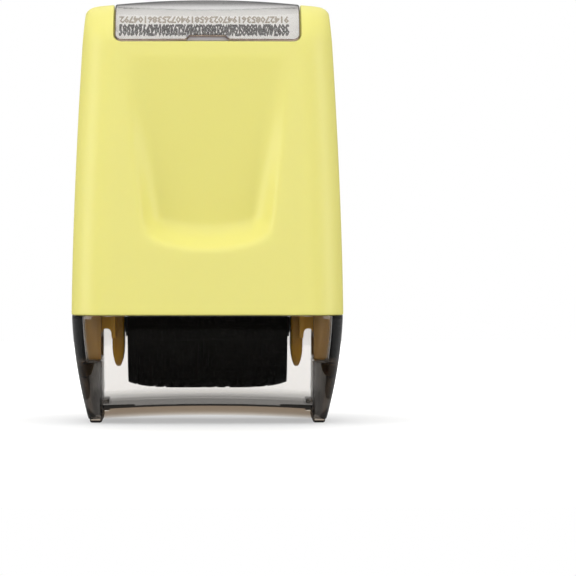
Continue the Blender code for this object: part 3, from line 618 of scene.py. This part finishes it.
def flat_figures(text, height, thick):
    """A row of figures from the built-in font as thin solid shapes lying flat, with its middle
    at x 0 and its foot at y 0, cut across so that it can follow a bend."""
    curve = bpy.data.curves.new("figures", "FONT")
    curve.body = text
    curve.size = height / 0.72
    curve.space_character = 0.92
    curve.align_x = "CENTER"
    curve.resolution_u = 1
    curve.offset = 0.042 * height
    curve.extrude = thick / 2
    made = placed("figures", curve)
    bpy.context.view_layer.update()
    mesh = bpy.data.meshes.new_from_object(made)
    bpy.data.objects.remove(made)
    bpy.data.curves.remove(curve)
    shape = bmesh.new()
    shape.from_mesh(mesh)
    bpy.data.meshes.remove(mesh)
    bmesh.ops.remove_doubles(shape, verts=shape.verts, dist=1e-5)
    for level in np.linspace(0, height, 4)[1:-1]:
        parts = shape.verts[:] + shape.edges[:] + shape.faces[:]
        plane = {"plane_co": (0, level, 0), "plane_no": (0, 1, 0)}
        bmesh.ops.bisect_plane(shape, geom=parts, **plane)
    return shape


def bent_print(name, rows):
    """Rows of figures wrapped round the label: the height above the row's foot becomes an angle
    and the thickness a radius. Each row is repeated, turned half round, on the back."""
    points, faces, base = [], [], 0
    for text, foot, height, squeeze, shift, over in rows:
        shape = flat_figures(text, height, 0.03)
        flat = np.array([vertex.co[:] for vertex in shape.verts]) * (squeeze, 1, 1)
        if over:
            flat[:, 1] = height - flat[:, 1]
            flat[:, 0] = -flat[:, 0]
        angle = np.radians(foot) + flat[:, 1] / label_radius
        radius = label_radius + 0.016 + flat[:, 2]
        bent = turned_points(flat[:, 0] + shift, radius, angle, arch_centre)
        for turned in (1, -1):
            points.append(bent * (turned, turned, 1))
            faces += [[vertex.index + base for vertex in face.verts] for face in shape.faces]
            base += len(flat)
        shape.free()
    mesh = bpy.data.meshes.new(name)
    mesh.from_pydata(np.concatenate(points).tolist(), [], faces)
    mesh.validate()
    shape = bmesh.new()
    shape.from_mesh(mesh)
    bmesh.ops.recalc_face_normals(shape, faces=shape.faces)
    shape.to_mesh(mesh)
    shape.free()
    return placed(name, mesh)


def printing_ink(name, colour, worn):
    """Printing ink: dark, slightly uneven in cover, with a low sheen."""
    made, tree, shader = new_material(name)
    cover = noise(tree, wired(tree, "TexCoord", "Object"), 700, 3)
    feed(tree, shader, {"Base Color": mixed(tree, cover, colour, worn), "Roughness": 0.45})
    return made


# Each row: its figures, its foot's angle, its height, its squeeze, its shift, and whether it is
# turned over.
figures = "58036914270853619470236581940725386104792635810947"
dark_rows = [
    (figures[:44], 21.2, 1.85, 0.51, -0.5, False),
    (figures[3:46], 21.5, 1.78, 0.54, -0.55, True),
]
mask_rows = [
    (figures[i : i + 32], 73.0 + 5.4 * i, 1.25, 1.05, 0.37 * (i % 3) - 0.4, bool(i % 2))
    for i in range(4)
]
mask_rows += [
    (figures[12 + i : 42 + i], 70.8 + 5.1 * i, 1.15, 1.22, -0.29 * (i % 4) + 0.4, bool(i % 3))
    for i in range(4)
]
faint_rows = [(figures[5:41], 38.6, 1.3, 0.88, -0.5, True)]
for name, rows, colour, worn in (
    ("label_figures", dark_rows, (0.022, 0.016, 0.013), (0.06, 0.045, 0.038)),
    ("label_mask", mask_rows, (0.012, 0.011, 0.010), (0.03, 0.028, 0.026)),
    ("label_faint_figures", faint_rows, (0.34, 0.28, 0.20), (0.46, 0.38, 0.29)),
):
    printed = bent_print(name, rows)
    printed.data.materials.append(printing_ink(name + "_ink", colour, worn))
    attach(printed, "housing")

# The inner frame is moulded in amber plastic, a little translucent. Each side has a bearing arm
# with a rounded tip, a skirt that follows the cap's end wall, arched webs between the two and
# a fin above; a deck with a tenon at each end ties the two sides together.

arm_middle = 13.92
arm_half_x = 0.92
arm_half_y = 4.6
arm_foot = 8.7
arm_shoulder = 20.0
tip_top = 13.3
web_foot, web_top, web_rise = 13.2, 17.4, 1.5
skirt_low, skirt_high = 10.0, 25.0
skirt_wall, skirt_bulge = 1.2, 0.62
fin_near, fin_far, fin_half = 14.2, 17.3, 0.7
fin_low, fin_high = 24.8, 36.2
deck_half_x, deck_half_y = 12.9, 6.0
tenon_half_x, tenon_half_y = 14.6, 2.5
deck_low, deck_high = 37.6, 39.0


def standing_bar(levels, centre_x, half_x, half_y, corner):
    """A closed bar: round-cornered rectangles of half sizes half_x and half_y stacked at the
    levels, with its first and last outline closed by flat grids."""
    turn = np.linspace(0, np.pi / 2, 5)
    angle = (turn[None, :] + np.arange(4)[:, None] * np.pi / 2).ravel()
    sign = np.repeat(np.array([(1, 1), (-1, 1), (-1, -1), (1, -1)]), 5, axis=0)
    angle, sign = np.append(angle, angle[0]), np.concatenate([sign, sign[:1]])
    levels, half_x, half_y = (np.array(part, float)[:, None] for part in (levels, half_x, half_y))
    radius = np.minimum(corner, np.minimum(half_x, half_y) * 0.95)
    x = centre_x + sign[:, 0] * (half_x - radius) + radius * np.cos(angle)
    y = sign[:, 1] * (half_y - radius) + radius * np.sin(angle)
    side = grid(x, y, levels) * mm
    return [side, *(np.stack([ring[:10], ring[-2:9:-1]]) for ring in (side[0], side[-1]))]


def arched_web(side, y_low, y_high):
    """A web between arm and skirt: flat on top, arched underneath by a rounded power curve."""
    near, far, middle, half, power = 14.3, 17.0, 15.65, 0.76, 2.6
    x = np.linspace(near, far, 29)
    share = np.abs((x - middle) / half)
    under = web_foot + web_rise * np.clip(1 - share**power, 0, 1) ** (1 / power)
    y = np.array([y_low, y_low + 0.06, y_low + 0.25, y_high - 0.25, y_high - 0.06, y_high])
    y, ease = y[:, None], np.array([0.25, 0.06, 0, 0, 0.06, 0.25])[:, None]
    faces = [grid(side * x[None], y, z) * mm for z in (web_top - ease, under[None] + ease)]
    return [*faces, *rims(*faces)]


def skirt_patches(side):
    """The skirt: a line along the end wall that turns in round both corners, with a rounded
    section swept up it. It bulges to follow the cap's wall where that is widest."""
    inner_edge, narrow, bend, straight, ease = 16.35, 18.18, 3.0, 7.6, 0.3
    quarter = np.linspace(0, np.pi / 2, 4)
    foot, head = skirt_low + ease * (1 - np.cos(quarter)), ease * np.sin(quarter)
    straight_up = carried(skirt_low + ease, skirt_high - ease, 0.6)[1:]
    up = np.concatenate([foot, straight_up, skirt_high - ease + head])
    past = np.maximum(skirt_low + ease - up, up - skirt_high + ease).clip(0) / ease
    drawn = ease - ease * np.sqrt(np.maximum(1 - past**2, 0))
    outer = narrow + skirt_bulge * smooth((up - 8.5) / 6) * smooth((skirt_high - up) / 6)
    turn = np.linspace(0, np.pi / 2, 13)
    turn = np.concatenate([-turn[::-1], np.zeros(23), turn])
    line_y = np.linspace(-straight, straight, 25)[1:-1]
    line_y = np.concatenate([np.full(13, -straight), line_y, np.full(13, straight)])
    faces = []
    for inset in (drawn, skirt_wall - drawn):
        x = inner_edge + (outer - inner_edge - inset)[:, None] * np.cos(turn)
        y = line_y + (bend - inset)[:, None] * np.sin(turn)
        faces.append(grid(side * x, y, up[:, None]) * mm)
    return [*faces, *rims(*faces)]


def make_frame_side(name, side):
    """One side frame. The arm is a bar whose tip follows an arc in both directions."""
    tip = arm_foot + arm_half_y * (1 - np.cos(np.linspace(0.12, np.pi / 2, 15)))
    above = [arm_shoulder, arm_shoulder + 0.4, arm_shoulder + 0.8, deck_high]
    levels = np.concatenate([tip, carried(tip_top, arm_shoulder, 0.6)[1:], above])
    half_y = arm_half_y * np.sqrt(1 - np.clip((tip_top - levels) / arm_half_y, 0, 1) ** 2)
    half_y = np.maximum(half_y, 0.35) + 1.4 * smooth((levels - (arm_shoulder - 0.1)) / 0.9)
    half_x = arm_half_x * np.sqrt(1 - np.clip((12.2 - levels) / 3.6, 0, 0.97) ** 2)
    patches = standing_bar(levels, side * arm_middle, half_x, half_y, 0.3)
    patches += skirt_patches(side)
    patches += arched_web(side, -7.6, -3.0) + arched_web(side, 3.0, 7.6)
    low_x, high_x = sorted((side * fin_near, side * fin_far))
    patches += rounded_block((low_x, -fin_half, fin_low), (high_x, fin_half, fin_high), 0.2)
    return closed_mesh(name, patches, 35)


amber_plastic = moulded_plastic("amber_plastic", (0.74, 0.38, 0.028), 0.35, 0.2, 0.15)
# The skirts get a darker copy of the amber plastic: painted shade, for they lie in shade behind the
# cap's smoked end walls.
skirt_amber_painted_shade = moulded_plastic("amber_skirt_painted_shade", (0.32, 0.175, 0.042), 0.35, 0.2, 0.15)
for name, side in (("left", -1), ("right", 1)):
    frame_side = make_frame_side("frame_" + name, side)
    frame_side.data.materials.append(amber_plastic)
    frame_side.data.materials.append(skirt_amber_painted_shade)
    # Skirt faces take the darker copy, which is painted shade.
    in_skirt = np.abs(face_values(frame_side.data, "center")[:, 0]) > 16.3 * mm
    frame_side.data.polygons.foreach_set("material_index", in_skirt.astype(np.int32))
    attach(frame_side, "roller_unit")
    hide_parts("frame_side_" + name)
deck_patches = []
for half_x, half_y, ease in (
    (deck_half_x, deck_half_y, 0.25),
    (tenon_half_x, tenon_half_y, 0.2),
):
    low, high = (-half_x, -half_y, deck_low), (half_x, half_y, deck_high)
    deck_patches += rounded_block(low, high, ease)
deck = closed_mesh("frame_deck_plate", deck_patches, 35)
deck.data.materials.append(amber_plastic)
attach(deck, "roller_unit")
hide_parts("frame_deck")

# The print roller is a black rubber sleeve, its face moulded with a raised mask of crowded
# figures, pushed over a black plastic core with a flange and hub at each end. It turns on a
# steel pin that runs through both arms.

roller_axis = 15.4
# Each figure has five rows of dots, and the three bits of a number are the dots of one row.
figure_dots = "75557 22222 71747 71717 55711 74717 74757 71222 75757 75717".split()


def mask_marks(cells_x, cells_turn):
    """Which cells of the roller's face stand up: figures three cells wide and five high in
    crowded rows, with a second, shifted layer over them."""
    marks = np.zeros((cells_turn, cells_x), bool)
    dots = np.array([[int(row) for row in figure] for figure in figure_dots])
    for layer, (pitch_x, pitch_turn, skip) in enumerate(((4, 6, 7), (5, 8, 3))):
        rows, columns = np.divmod(np.arange(cells_x * cells_turn), cells_x)
        band, high = np.divmod(rows + 2 * layer, pitch_turn)
        place, wide = np.divmod(columns + 3 * layer + band * skip, pitch_x)
        line = dots[(place * 7 + band * 13 + layer * 5) % 10, np.minimum(high, 4)]
        raised = (line >> (2 - np.minimum(wide, 2))) & 1 == 1
        marks |= ((high < 5) & (wide < 3) & raised).reshape(cells_turn, cells_x)
    return marks


def make_sleeve():
    """The sleeve: a cylinder whose radius follows the rounded ends, the raised mask and the
    bore. Each cell has two grid lines, so a mark's sides are steep and its top is flat."""
    half, radius, bore, end_drop = 12.4, 10.0, 8.0, 0.9
    mask_half, cell, raised = 11.1, 0.4, 0.16
    cells_x, cells_turn = 55, 156
    marks = mask_marks(cells_x, cells_turn)
    start = (np.arange(cells_x) - cells_x / 2) * cell
    lines_x = np.stack([start, start + 0.07], axis=-1).ravel()
    margin = np.array([11.15, 11.5, 11.8, 12.05, 12.22, 12.33, 12.39, half])
    x = np.concatenate([-margin[::-1], lines_x, margin])
    turn = np.arange(cells_turn) * 2 * np.pi / cells_turn
    angle = np.append(np.stack([turn, turn + 0.007], axis=-1).ravel(), 2 * np.pi)[:, None]
    wide = np.repeat(marks, 2, axis=1).astype(float)
    wide[:, 2::2] = marks[:, 1:] & marks[:, :-1]
    wide[:, 0] = 0
    before = np.roll(wide, 1, axis=0)
    high = np.zeros((len(angle), len(x)))
    block = np.stack([np.minimum(wide, before), wide], axis=1)
    high[:-1, 8:-8] = block.reshape(-1, wide.shape[1])
    high[-1] = high[0]
    drop = end_drop * np.abs(x / half) ** 5
    face = radius - drop - raised * (1 - high) * (np.abs(x) < mask_half)
    face[:, [0, -1]] -= 0.12
    outer = turned_points(x, face, angle, roller_axis)
    in_x = np.array([half, half, 0, -half, -half])
    in_radius = np.array([face[0, 0], bore, bore, bore, face[0, 0]])
    inner = turned_points(in_x, in_radius, angle, roller_axis)
    return closed_mesh("mask_sleeve", [outer, inner], 30)


def eased(profile, radius):
    """A closed outline with each corner replaced by a small bend between its two sides."""
    profile = np.array(profile, float)
    sides = [np.roll(profile, way, axis=0) - profile for way in (1, -1)]
    lengths = [np.linalg.norm(side, axis=1, keepdims=True) for side in sides]
    size = np.minimum(radius, 0.45 * np.minimum(*lengths))
    first, last = (profile + side / length * size for side, length in zip(sides, lengths))
    t = np.linspace(0, 1, 5)[None, :, None]
    corner = 2 * t * (1 - t) * profile[:, None]
    return ((1 - t) ** 2 * first[:, None] + corner + t**2 * last[:, None]).reshape(-1, 2)


def turned_part(name, outline, height, steps=96, ease=0.12):
    """A closed outline of (x, radius), its corners eased, turned about the axis."""
    angle = np.linspace(0, 2 * np.pi, steps + 1)[:, None]
    loop = eased(outline, ease)
    loop = np.concatenate([loop, loop[:1]])[None]
    radius = np.maximum(loop[..., 1], 0)
    return closed_mesh(name, [turned_points(loop[..., 0], radius, angle, height)], 35)


def dark_polymer(name, colour, dusty, roughness, coarse, grain, shine=0.35):
    """Black rubber or plastic: nearly even, with a faint dusty bloom and a fine grain."""
    made, tree, shader = new_material(name)
    place = wired(tree, "TexCoord", "Object")
    bloom = noise(tree, place, coarse, 4)
    look = {
        "Base Color": mixed(tree, bloom, colour, dusty),
        "Roughness": ranged(tree, bloom, roughness - 0.08, roughness + 0.08),
        "Normal": bumped(tree, noise(tree, place, 3500, 2), grain, 0.00005),
        "Specular IOR Level": shine,
    }
    feed(tree, shader, look)
    return made


def mirrored(profile):
    return [(-x, radius) for x, radius in profile]


sleeve = make_sleeve()
inked_rubber = dark_polymer(
    "inked_rubber", (0.003, 0.0028, 0.0022), (0.008, 0.007, 0.0055), 0.6, 220, 0.4, 0.05
)
sleeve.data.materials.append(inked_rubber)
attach(sleeve, "print_roller")
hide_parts("print_sleeve")

hard_black = dark_polymer(
    "black_hard_plastic", (0.02, 0.02, 0.02), (0.032, 0.03, 0.03), 0.35, 160, 0.2
)
core_half, core_bore, core_radius = 12, 6.3, 7.8
core_end = [(core_half, core_radius), (core_half, core_bore)]
core = turned_part("roller_core", mirrored(core_end)[::-1] + core_end, roller_axis)
core.data.materials.append(hard_black)
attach(core, "print_roller")
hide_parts("print_core")

flange = [(10.7, 1.6), (10.7, 6.1), (12.15, 6.1), (12.15, 7.6), (12.35, 7.6), (12.35, 4.6)]
flange += [(12.1, 4.4), (12.1, 3.0), (12.35, 2.8), (12.35, 2.1), (12.8, 2.1), (12.8, 1.6)]
for name, outline in (("left", mirrored(flange)), ("right", flange)):
    made = turned_part("roller_flange_" + name, outline, roller_axis, 72, 0.07)
    made.data.materials.append(hard_black)
    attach(made, "print_roller")
    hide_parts("print_flange_" + name)


def drawn_steel(name):
    """Drawn steel pin: fine rings across its length and a slight difference in polish."""
    made, tree, shader = new_material(name)
    place = wired(tree, "TexCoord", "Object")
    stretched = {"Vector": place, "Scale": (6000, 120, 120)}
    lines = noise(tree, wired(tree, "Mapping", "Vector", stretched), 1, 2)
    look = {
        "Base Color": mixed(tree, lines, (0.50, 0.50, 0.52), (0.66, 0.66, 0.67)),
        "Roughness": ranged(tree, lines, 0.2, 0.38),
        "Metallic": 1.0,
    }
    feed(tree, shader, look)
    return made


pin = [(-15.0, 0), (-15.0, 1.35), (-14.75, 1.5), (14.75, 1.5), (15.0, 1.35), (15.0, 0)]
axle = turned_part("steel_axle", pin, roller_axis, 48, 0.03)
axle.data.materials.append(drawn_steel("drawn_steel"))
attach(axle, "roller_unit")
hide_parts("print_axle")

# The ink roller is a tube of black foam, soaked with ink, on a turned plastic core with a disc
# at each end. Its two pins run in the arms above the print roller.

ink_axis = 30.9


def make_foam():
    """The foam tube: a cylinder with small round pits, each a smooth hollow about a random
    centre, and a plain bore."""
    half, radius, bore, pits = 11.2, 5.2, 2.8, 700
    angle = np.linspace(0, 2 * np.pi, 169)[:, None]
    x = np.concatenate([[-half], np.linspace(-half + 0.12, half - 0.12, 112), [half]])[None, :]
    random = np.random.default_rng(7)
    pit_x = random.uniform(-half, half, pits)
    pit_angle = random.uniform(0, 2 * np.pi, pits)
    size = random.uniform(0.10, 0.24, pits)
    depth = np.zeros((angle.size, x.size))
    for near_x, near_angle, wide in zip(pit_x, pit_angle, size):
        away = np.abs(np.angle(np.exp(1j * (angle - near_angle)))) * radius
        depth = np.maximum(depth, wide * 0.8 * np.exp(-(((x - near_x) ** 2 + away**2) / wide**2)))
    depth[-1] = depth[0]
    depth[:, [0, -1]] = 0.15
    face = radius - 0.01 - depth
    in_x = np.array([half, half, -half, -half])
    in_radius = np.array([face[0, 0], bore, bore, face[0, 0]])
    outer = turned_points(x, face, angle, ink_axis)
    inner = turned_points(in_x, in_radius, angle, ink_axis)
    return closed_mesh("foam_tube", [outer, inner], 50)


foam = make_foam()
inked_foam = dark_polymer(
    "inked_foam", (0.008, 0.008, 0.011), (0.028, 0.027, 0.034), 0.8, 500, 0.8
)
foam.data.materials.append(inked_foam)
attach(foam, "ink_roller")
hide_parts("ink_foam")
ink_outline = [(-15.0, 0), (-15.0, 1.4), (-12.4, 1.4), (-12.4, 2.6)]
ink_outline += mirrored(ink_outline)[::-1]
ink_core = turned_part("ink_core_bar", ink_outline, ink_axis, 60, 0.15)
ink_core.data.materials.append(hard_black)
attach(ink_core, "ink_roller")
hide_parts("ink_core")
disc = [(11.4, 2.8), (11.4, 4.6), (12.2, 4.6), (12.2, 2.8)]
for name, outline in (("left", mirrored(disc)), ("right", disc)):
    made = turned_part("ink_end_disc_" + name, outline, ink_axis, 72, 0.15)
    made.data.materials.append(hard_black)
    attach(made, "ink_roller")
    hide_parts("ink_disc_" + name)

# The cap is one moulding in clear smoked plastic that grips the frame's skirts. Its faces round
# in to a floor that is arched between two foot rails. Inside, each end wall has a ledge under
# the skirt and a short rest rib, and a tongue above it closes the casing's notch.

cap_top = 16.84
cap_flat = 15.6
ledge_edge = 16.4
ledge_reach = (0, 0.02, 0.06, 0.5, 0.94, 0.98, 1)
# Each end's foot rail and rest rib: its near and far x, half its length, its foot and top, and
# the rounding of its edges.
foot_rail = (ledge_edge, 18.35, 7.0, 0.0, 1.35, 0.4)
rest_rib = (15.3, 16.75, 4.5, 1.7, 3.5, 0.3)


def cap_half_width(z):
    """Half the cap's width at a height, curving in towards the foot by a power law."""
    share = np.clip((cap_top - z) / cap_top, 0, 1)
    return (casing_width - 5.0 * share**1.6) / 2


def cap_profile(face_wall):
    """The side outline of one skin from below the rim down to the floor: height, half depth and
    how far a ledge reaches in there. The half depth follows a superellipse; inside, that is
    drawn in by the face wall, and a small round leads to the floor."""
    height = cap_top - (cap_top - 0.3) * np.sin(np.linspace(0.02, 1, 45) * np.pi / 2)
    depth = 6.5 + 9.0 * (1 - ((cap_top - height) / (cap_top - 0.3)) ** 2.5) ** 0.4
    if not face_wall:
        return height, depth, 0 * height
    low = 5.0
    lean = np.interp(-low, -height, np.gradient(depth) / np.gradient(height))
    wall = np.concatenate([carried(cap_top - 0.25, 10.05, 0.4), [9.98, 9.92, 9.9], [9.9, 9.9]])
    wall = np.concatenate([wall, [9.88, 9.82], carried(9.5, low, 0.4), [low]])
    ledge = np.interp(np.arange(len(wall)), np.argmax(wall <= 9.98) + np.arange(7), ledge_reach)
    share = np.linspace(0, 1, 17)[1:]
    depth = np.interp(-wall, -height, depth)
    turned = depth[-1] - 3.2 * lean * (1 - (1 - share) ** 2) - 3.8 * share**2
    height = np.concatenate([wall, 1.8 + 3.2 * (1 - share) ** 2])
    return height, np.concatenate([depth, turned]), np.append(ledge, np.ones(16))


def cap_rings(face_wall, end_wall):
    """Level outlines of one skin, each with its corners on parts of ellipses. The inner skin has
    the same corners as the outer one, cut off by the end walls with a small round. An arch
    lifts the middle of the floor."""
    quarter = np.linspace(0, np.pi / 2, 6)[:-1]
    height, depth, ledge = cap_profile(face_wall)
    height = np.concatenate([cap_top - 0.1 * (1 - np.cos(quarter)), height])
    full = np.concatenate([0 * quarter + depth[0], depth])
    ease = np.concatenate([0.1 * (1 - np.sin(quarter)), 0 * depth])[:, None]
    ledge = np.concatenate([0 * quarter, ledge])[:, None]
    arch = np.clip((cap_top - height[:, None]) / (cap_top - height[-1]), 0, 1) ** 4
    z = height[:, None]
    corner_x = cap_half_width(z) - cap_flat
    corner_y = np.minimum(corner_radius, full / 2)[:, None]
    turn = np.linspace(np.pi / 2, 0, 19)[None, :]
    across, back = corner_x * np.cos(turn), corner_y * (1 - np.sin(turn))
    if end_wall:
        inside = (corner_x - end_wall) * (1 - ledge) + (ledge_edge - cap_flat) * ledge
        cut = inside - 0.5
        last = np.arccos(cut / corner_x)
        turn = np.pi / 2 - (np.pi / 2 - last) * np.linspace(0, 1, 14)[None, :]
        slope = corner_y * cut / (corner_x * np.sqrt(corner_x**2 - cut**2))
        share = np.linspace(0, 1, 6)[None, 1:]
        start = corner_y * (1 - np.sin(last))
        round_y = start + slope * share * (1 - share / 2) + 0.5 * share**2
        round_x = cut + 0.5 * (1 - (1 - share) ** 2)
        across = np.concatenate([corner_x * np.cos(turn), round_x], axis=1)
        back = np.concatenate([corner_y * (1 - np.sin(turn)), round_y], axis=1)
        ease = -ease
    across = across - ease * across / across[:, -1:]
    middle = np.linspace(0, cap_flat, 26)[None, :-1]
    x = np.concatenate([middle + 0 * z, cap_flat + across], axis=1)
    y = full[:, None] - face_wall - ease - np.concatenate([0 * middle + 0 * z, back], axis=1)
    x, y = (np.concatenate([way * part[:, :0:-1], part], axis=1) for way, part in ((-1, x), (1, y)))
    return x, y, z + 0.85 * (1 - (2 * x / casing_width) ** 2) * arch


def cap_skin(face_wall, end_wall):
    """One skin of the cap: its front and back half rings, its two ends and its floor."""
    x, y, z = cap_rings(face_wall, end_wall)
    front, back = grid(x, -y, z), grid(x, y, z)
    share = np.linspace(0, 1, 15)[None, :, None]
    ends = [front[:, [side]] * (1 - share) + back[:, [side]] * share for side in (0, -1)]
    across = np.linspace(0, 1, 15)[:, None, None]
    return front, back, *ends, front[-1] * (1 - across) + back[-1] * across


def cap_tongue(side):
    """A tongue: a plate whose outline is the casing's notch less a margin, with eased edges."""
    low, high, corner = 16.5, 24.4, 4.2
    rise = np.concatenate([[low], np.linspace(low + 0.5, high - corner, 9)])
    arc = np.linspace(0, np.pi / 2, 15)[1:]
    z = np.concatenate([rise, high - corner + corner * np.sin(arc)])
    straight = np.minimum(z, high - corner) - split_height
    half = casing_depth / 2 - straight * np.tan(face_lean) - 4.96
    half[len(rise) :] += corner * (np.cos(arc) - 1)
    share = np.linspace(-1, 1, 23)
    flat_y = (half[:, None] - 0.15) * share
    plates = [grid(side * x, flat_y, z[:, None]) for x in (19.0, 20.35)]
    loops = []
    for x, pull in zip((19.0, 19.05, 19.2, 20.15, 20.3, 20.35), (0.15, 0.04, 0, 0, 0.04, 0.15)):
        y = half - pull
        line_y = np.concatenate([-y, y[-1] * share[1:-1], y[::-1]])
        line_z = np.concatenate([z, np.full(share.size - 2, z[-1]), z[::-1]])
        loops.append(grid(side * x, line_y, line_z))
    rim = np.stack(loops)
    across = (share[None, :, None] + 1) / 2
    foot = rim[:, :1] * (1 - across) + rim[:, -1:] * across
    return [part * mm for part in (*plates, rim, foot)]


def make_cap():
    outer, inner = cap_skin(0.0, 0.0), cap_skin(1.4, 2.0)
    patches = [part * mm for part in (*outer, *inner)]
    patches += [np.stack([outer[part][0], inner[part][0]]) * mm for part in range(4)]
    for side in (-1, 1):
        for near, far, half, foot, top, ease in (foot_rail, rest_rib):
            low_x, high_x = sorted((side * near, side * far))
            patches += rounded_block((low_x, -half, foot), (high_x, half, top), ease)
        patches += cap_tongue(side)
    return closed_mesh("cap_clear", patches, 35)


cap = make_cap()
x, y, z = np.abs(face_values(cap.data, "center").T) / mm
normal = face_values(cap.data, "normal")
# The arched underside lets light straight through, and the ledges' sides do so a little, so that
# the floor shows what is behind it. The thick end blocks and the ribs are marked for painted shade:
# their colour is darkened for the long way light takes through them.
under = smooth((-normal[:, 2] - 0.35) / 0.3) * (z < 3) * (x < 16.3)
beside = (np.abs(normal[:, 0]) > 0.9) & (np.abs(x - ledge_edge) < 0.05)
mark_faces(cap.data, "see_through", np.maximum(under, 0.15 * beside))
rib_painted_shade = (x > 15.2) * (x < 16.8) * (y < 4.6) * (z > 1.6) * (z < 3.6)
block = np.maximum(smooth((np.abs(normal[:, 0]) - 0.45) / 0.3), smooth((6.5 - z) / 2))
block = block * (x > 16.45) * (z > 1.4) * (z < 9.85)
mark_faces(cap.data, "painted_shade", np.maximum(0.5 * rib_painted_shade, 0.75 * block))
smoked = clear_plastic("smoked_clear_plastic", 0.04, (0.80, 0.765, 0.725), 350, 0.12)
tree = smoked.node_tree
shader = tree.nodes["Principled BSDF"]
# The marked faces' colour is mixed towards near black: painted shade.
shade = wired(tree, "Attribute", "Fac", attribute_name="painted_shade")
feed(tree, shader, {"Base Color": mixed(tree, shade, (1, 1, 1), (0.10, 0.09, 0.085))})
plain_face = wired(tree, "Attribute", "Fac", attribute_name="see_through")
open_face = wired(tree, "BsdfTransparent", "BSDF")
either = {"Fac": plain_face, 1: shader.outputs["BSDF"], 2: open_face}
surface = wired(tree, "MixShader", "Shader", either)
tree.links.new(surface, tree.nodes["Material Output"].inputs["Surface"])
cap.data.materials.append(smoked)
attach(cap, "cap")
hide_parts("cap_shell")

# The studio is a white table and a white backdrop that rises behind the stamp and over it,
# under large soft lamps, in a room that is dark behind the camera. The camera is level with
# the stamp and a long way off.


def path_share(tree, depth):
    """1 where the ray has had a bounce of the named kind since the camera, and otherwise 0."""
    return calculated(tree, "GREATER_THAN", wired(tree, "LightPath", depth), 0.5)


# The table glows white to the camera, and less close to the stamp: a painted pool of shade round
# it, besides the lamps' shadow. Seen in the casing or the cap its glow and colour are painted
# darker, and what lies in front of the stamp is dark there.
table_paper, tree, shader = new_material("table_paper")
place = wired(tree, "TexCoord", "Object")
in_front = ranged(tree, wired(tree, "SeparateXYZ", "Y", {"Vector": place}), 0, 1, 0.012, -0.012)
hidden = calculated(tree, "MULTIPLY", in_front, path_share(tree, "Glossy Depth"))
direct = calculated(tree, "MULTIPLY_ADD", hidden, -0.97, 1.0)
kinds = wired(tree, "LightPath", "Is Camera Ray")
for kind, weight in (("Is Glossy Ray", 0.25), ("Is Transmission Ray", 0.4)):
    kinds = calculated(tree, "MULTIPLY_ADD", wired(tree, "LightPath", kind), weight, kinds)
away = wired(tree, "VectorMath", "Value", {0: place}, operation="LENGTH")
# Painted shade: the glow falls to 0.42 close to the stamp.
glow = ranged(tree, away, 0.42, 1.0, 0.015, 0.09)
for factor in (kinds, direct):
    glow = calculated(tree, "MULTIPLY", glow, factor)
look = {
    "Base Color": mixed(tree, path_share(tree, "Glossy Depth"), (0.42,) * 3, (0.02,) * 3),
    "Roughness": 0.9,
    "Specular IOR Level": 0.1,
    "Emission Color": (1, 1, 1, 1),
    "Emission Strength": glow,
}
feed(tree, shader, look)
corners = [(-0.5, -0.2, 0), (0.5, -0.2, 0), (0.5, 0.4, 0), (-0.5, 0.4, 0)]
table_mesh = bpy.data.meshes.new("table_top")
table_mesh.from_pydata(corners, [], [(0, 1, 2, 3)])
table_mesh.materials.append(table_paper)
table_top = placed("table_top", table_mesh)


def backdrop_light(tree, strength):
    """A white background shader whose strength is a number or another node's result."""
    inputs = {"Color": (1, 1, 1, 1), "Strength": strength}
    return wired(tree, "Background", "Background", inputs)


# The backdrop is white where it is seen. In reflections it is dark in front and pale overhead,
# and its light on the stamp is weak.
world = bpy.data.worlds.new("backdrop")
world.use_nodes = True
tree = world.node_tree
way = {"Vector": wired(tree, "TexCoord", "Generated")}
rises = [
    ranged(tree, wired(tree, "SeparateXYZ", axis, way), *span, "SMOOTHSTEP")
    for axis, span in (("Y", (0.015, 0.20, -0.1, 0.1)), ("Z", (0.0, 0.60, 0.30, 0.75)))
]
room = calculated(tree, "ADD", *rises)
shown = backdrop_light(tree, 1.0)
for depth, strength in (("Glossy Depth", room), ("Diffuse Depth", 0.42)):
    inputs = {"Fac": path_share(tree, depth), 1: shown, 2: backdrop_light(tree, strength)}
    shown = wired(tree, "MixShader", "Shader", inputs)
tree.links.new(shown, tree.nodes["World Output"].inputs["Surface"])
tree.nodes.remove(tree.nodes["Background"])
bpy.context.scene.world = world


def aimed(made, place, target):
    """Puts an object at a place and turns it to a target. Returns the distance."""
    made.location = place
    aim = Vector(target) - made.location
    made.rotation_euler = aim.to_track_quat("-Z", "Y").to_euler()
    return aim.length


def lamp(name, place, width, height, watts):
    """A soft rectangular lamp aimed at the middle of the stamp."""
    data = bpy.data.lights.new(name, "AREA")
    data.shape = "RECTANGLE"
    data.size, data.size_y, data.energy = width, height, watts
    made = placed(name, data)
    aimed(made, place, (0, 0, 0.033))
    return made


top_lamp = lamp("top_lamp", (-0.1, -0.15, 0.75), 0.6, 0.6, 1.8)
front_lamp = lamp("front_lamp", (0.0, -0.6, 0.4), 0.5, 0.5, 1.85)
back_lamp = lamp("back_lamp", (0.0, 0.7, 0.4), 0.6, 0.6, 3.6)
for made in (top_lamp, front_lamp, back_lamp):
    made.visible_glossy = False
back_lamp.visible_transmission = False
lamp("left_lamp", (-0.7, -0.28, 0.25), 0.4, 0.5, 2.15)
lamp("right_lamp", (0.72, -0.28, 0.25), 0.4, 0.5, 1.85)

camera_data = bpy.data.cameras.new("camera")
camera_data.sensor_width = 36
camera_data.clip_start, camera_data.clip_end = 0.01, 10
camera = placed("camera", camera_data)
distance = aimed(camera, (0, -0.7, 0.034), (0.01266, 0, 0.02085))
camera_data.lens = 36 * distance / 0.0906
bpy.context.scene.camera = camera
bpy.context.scene.view_settings.view_transform = "Standard"
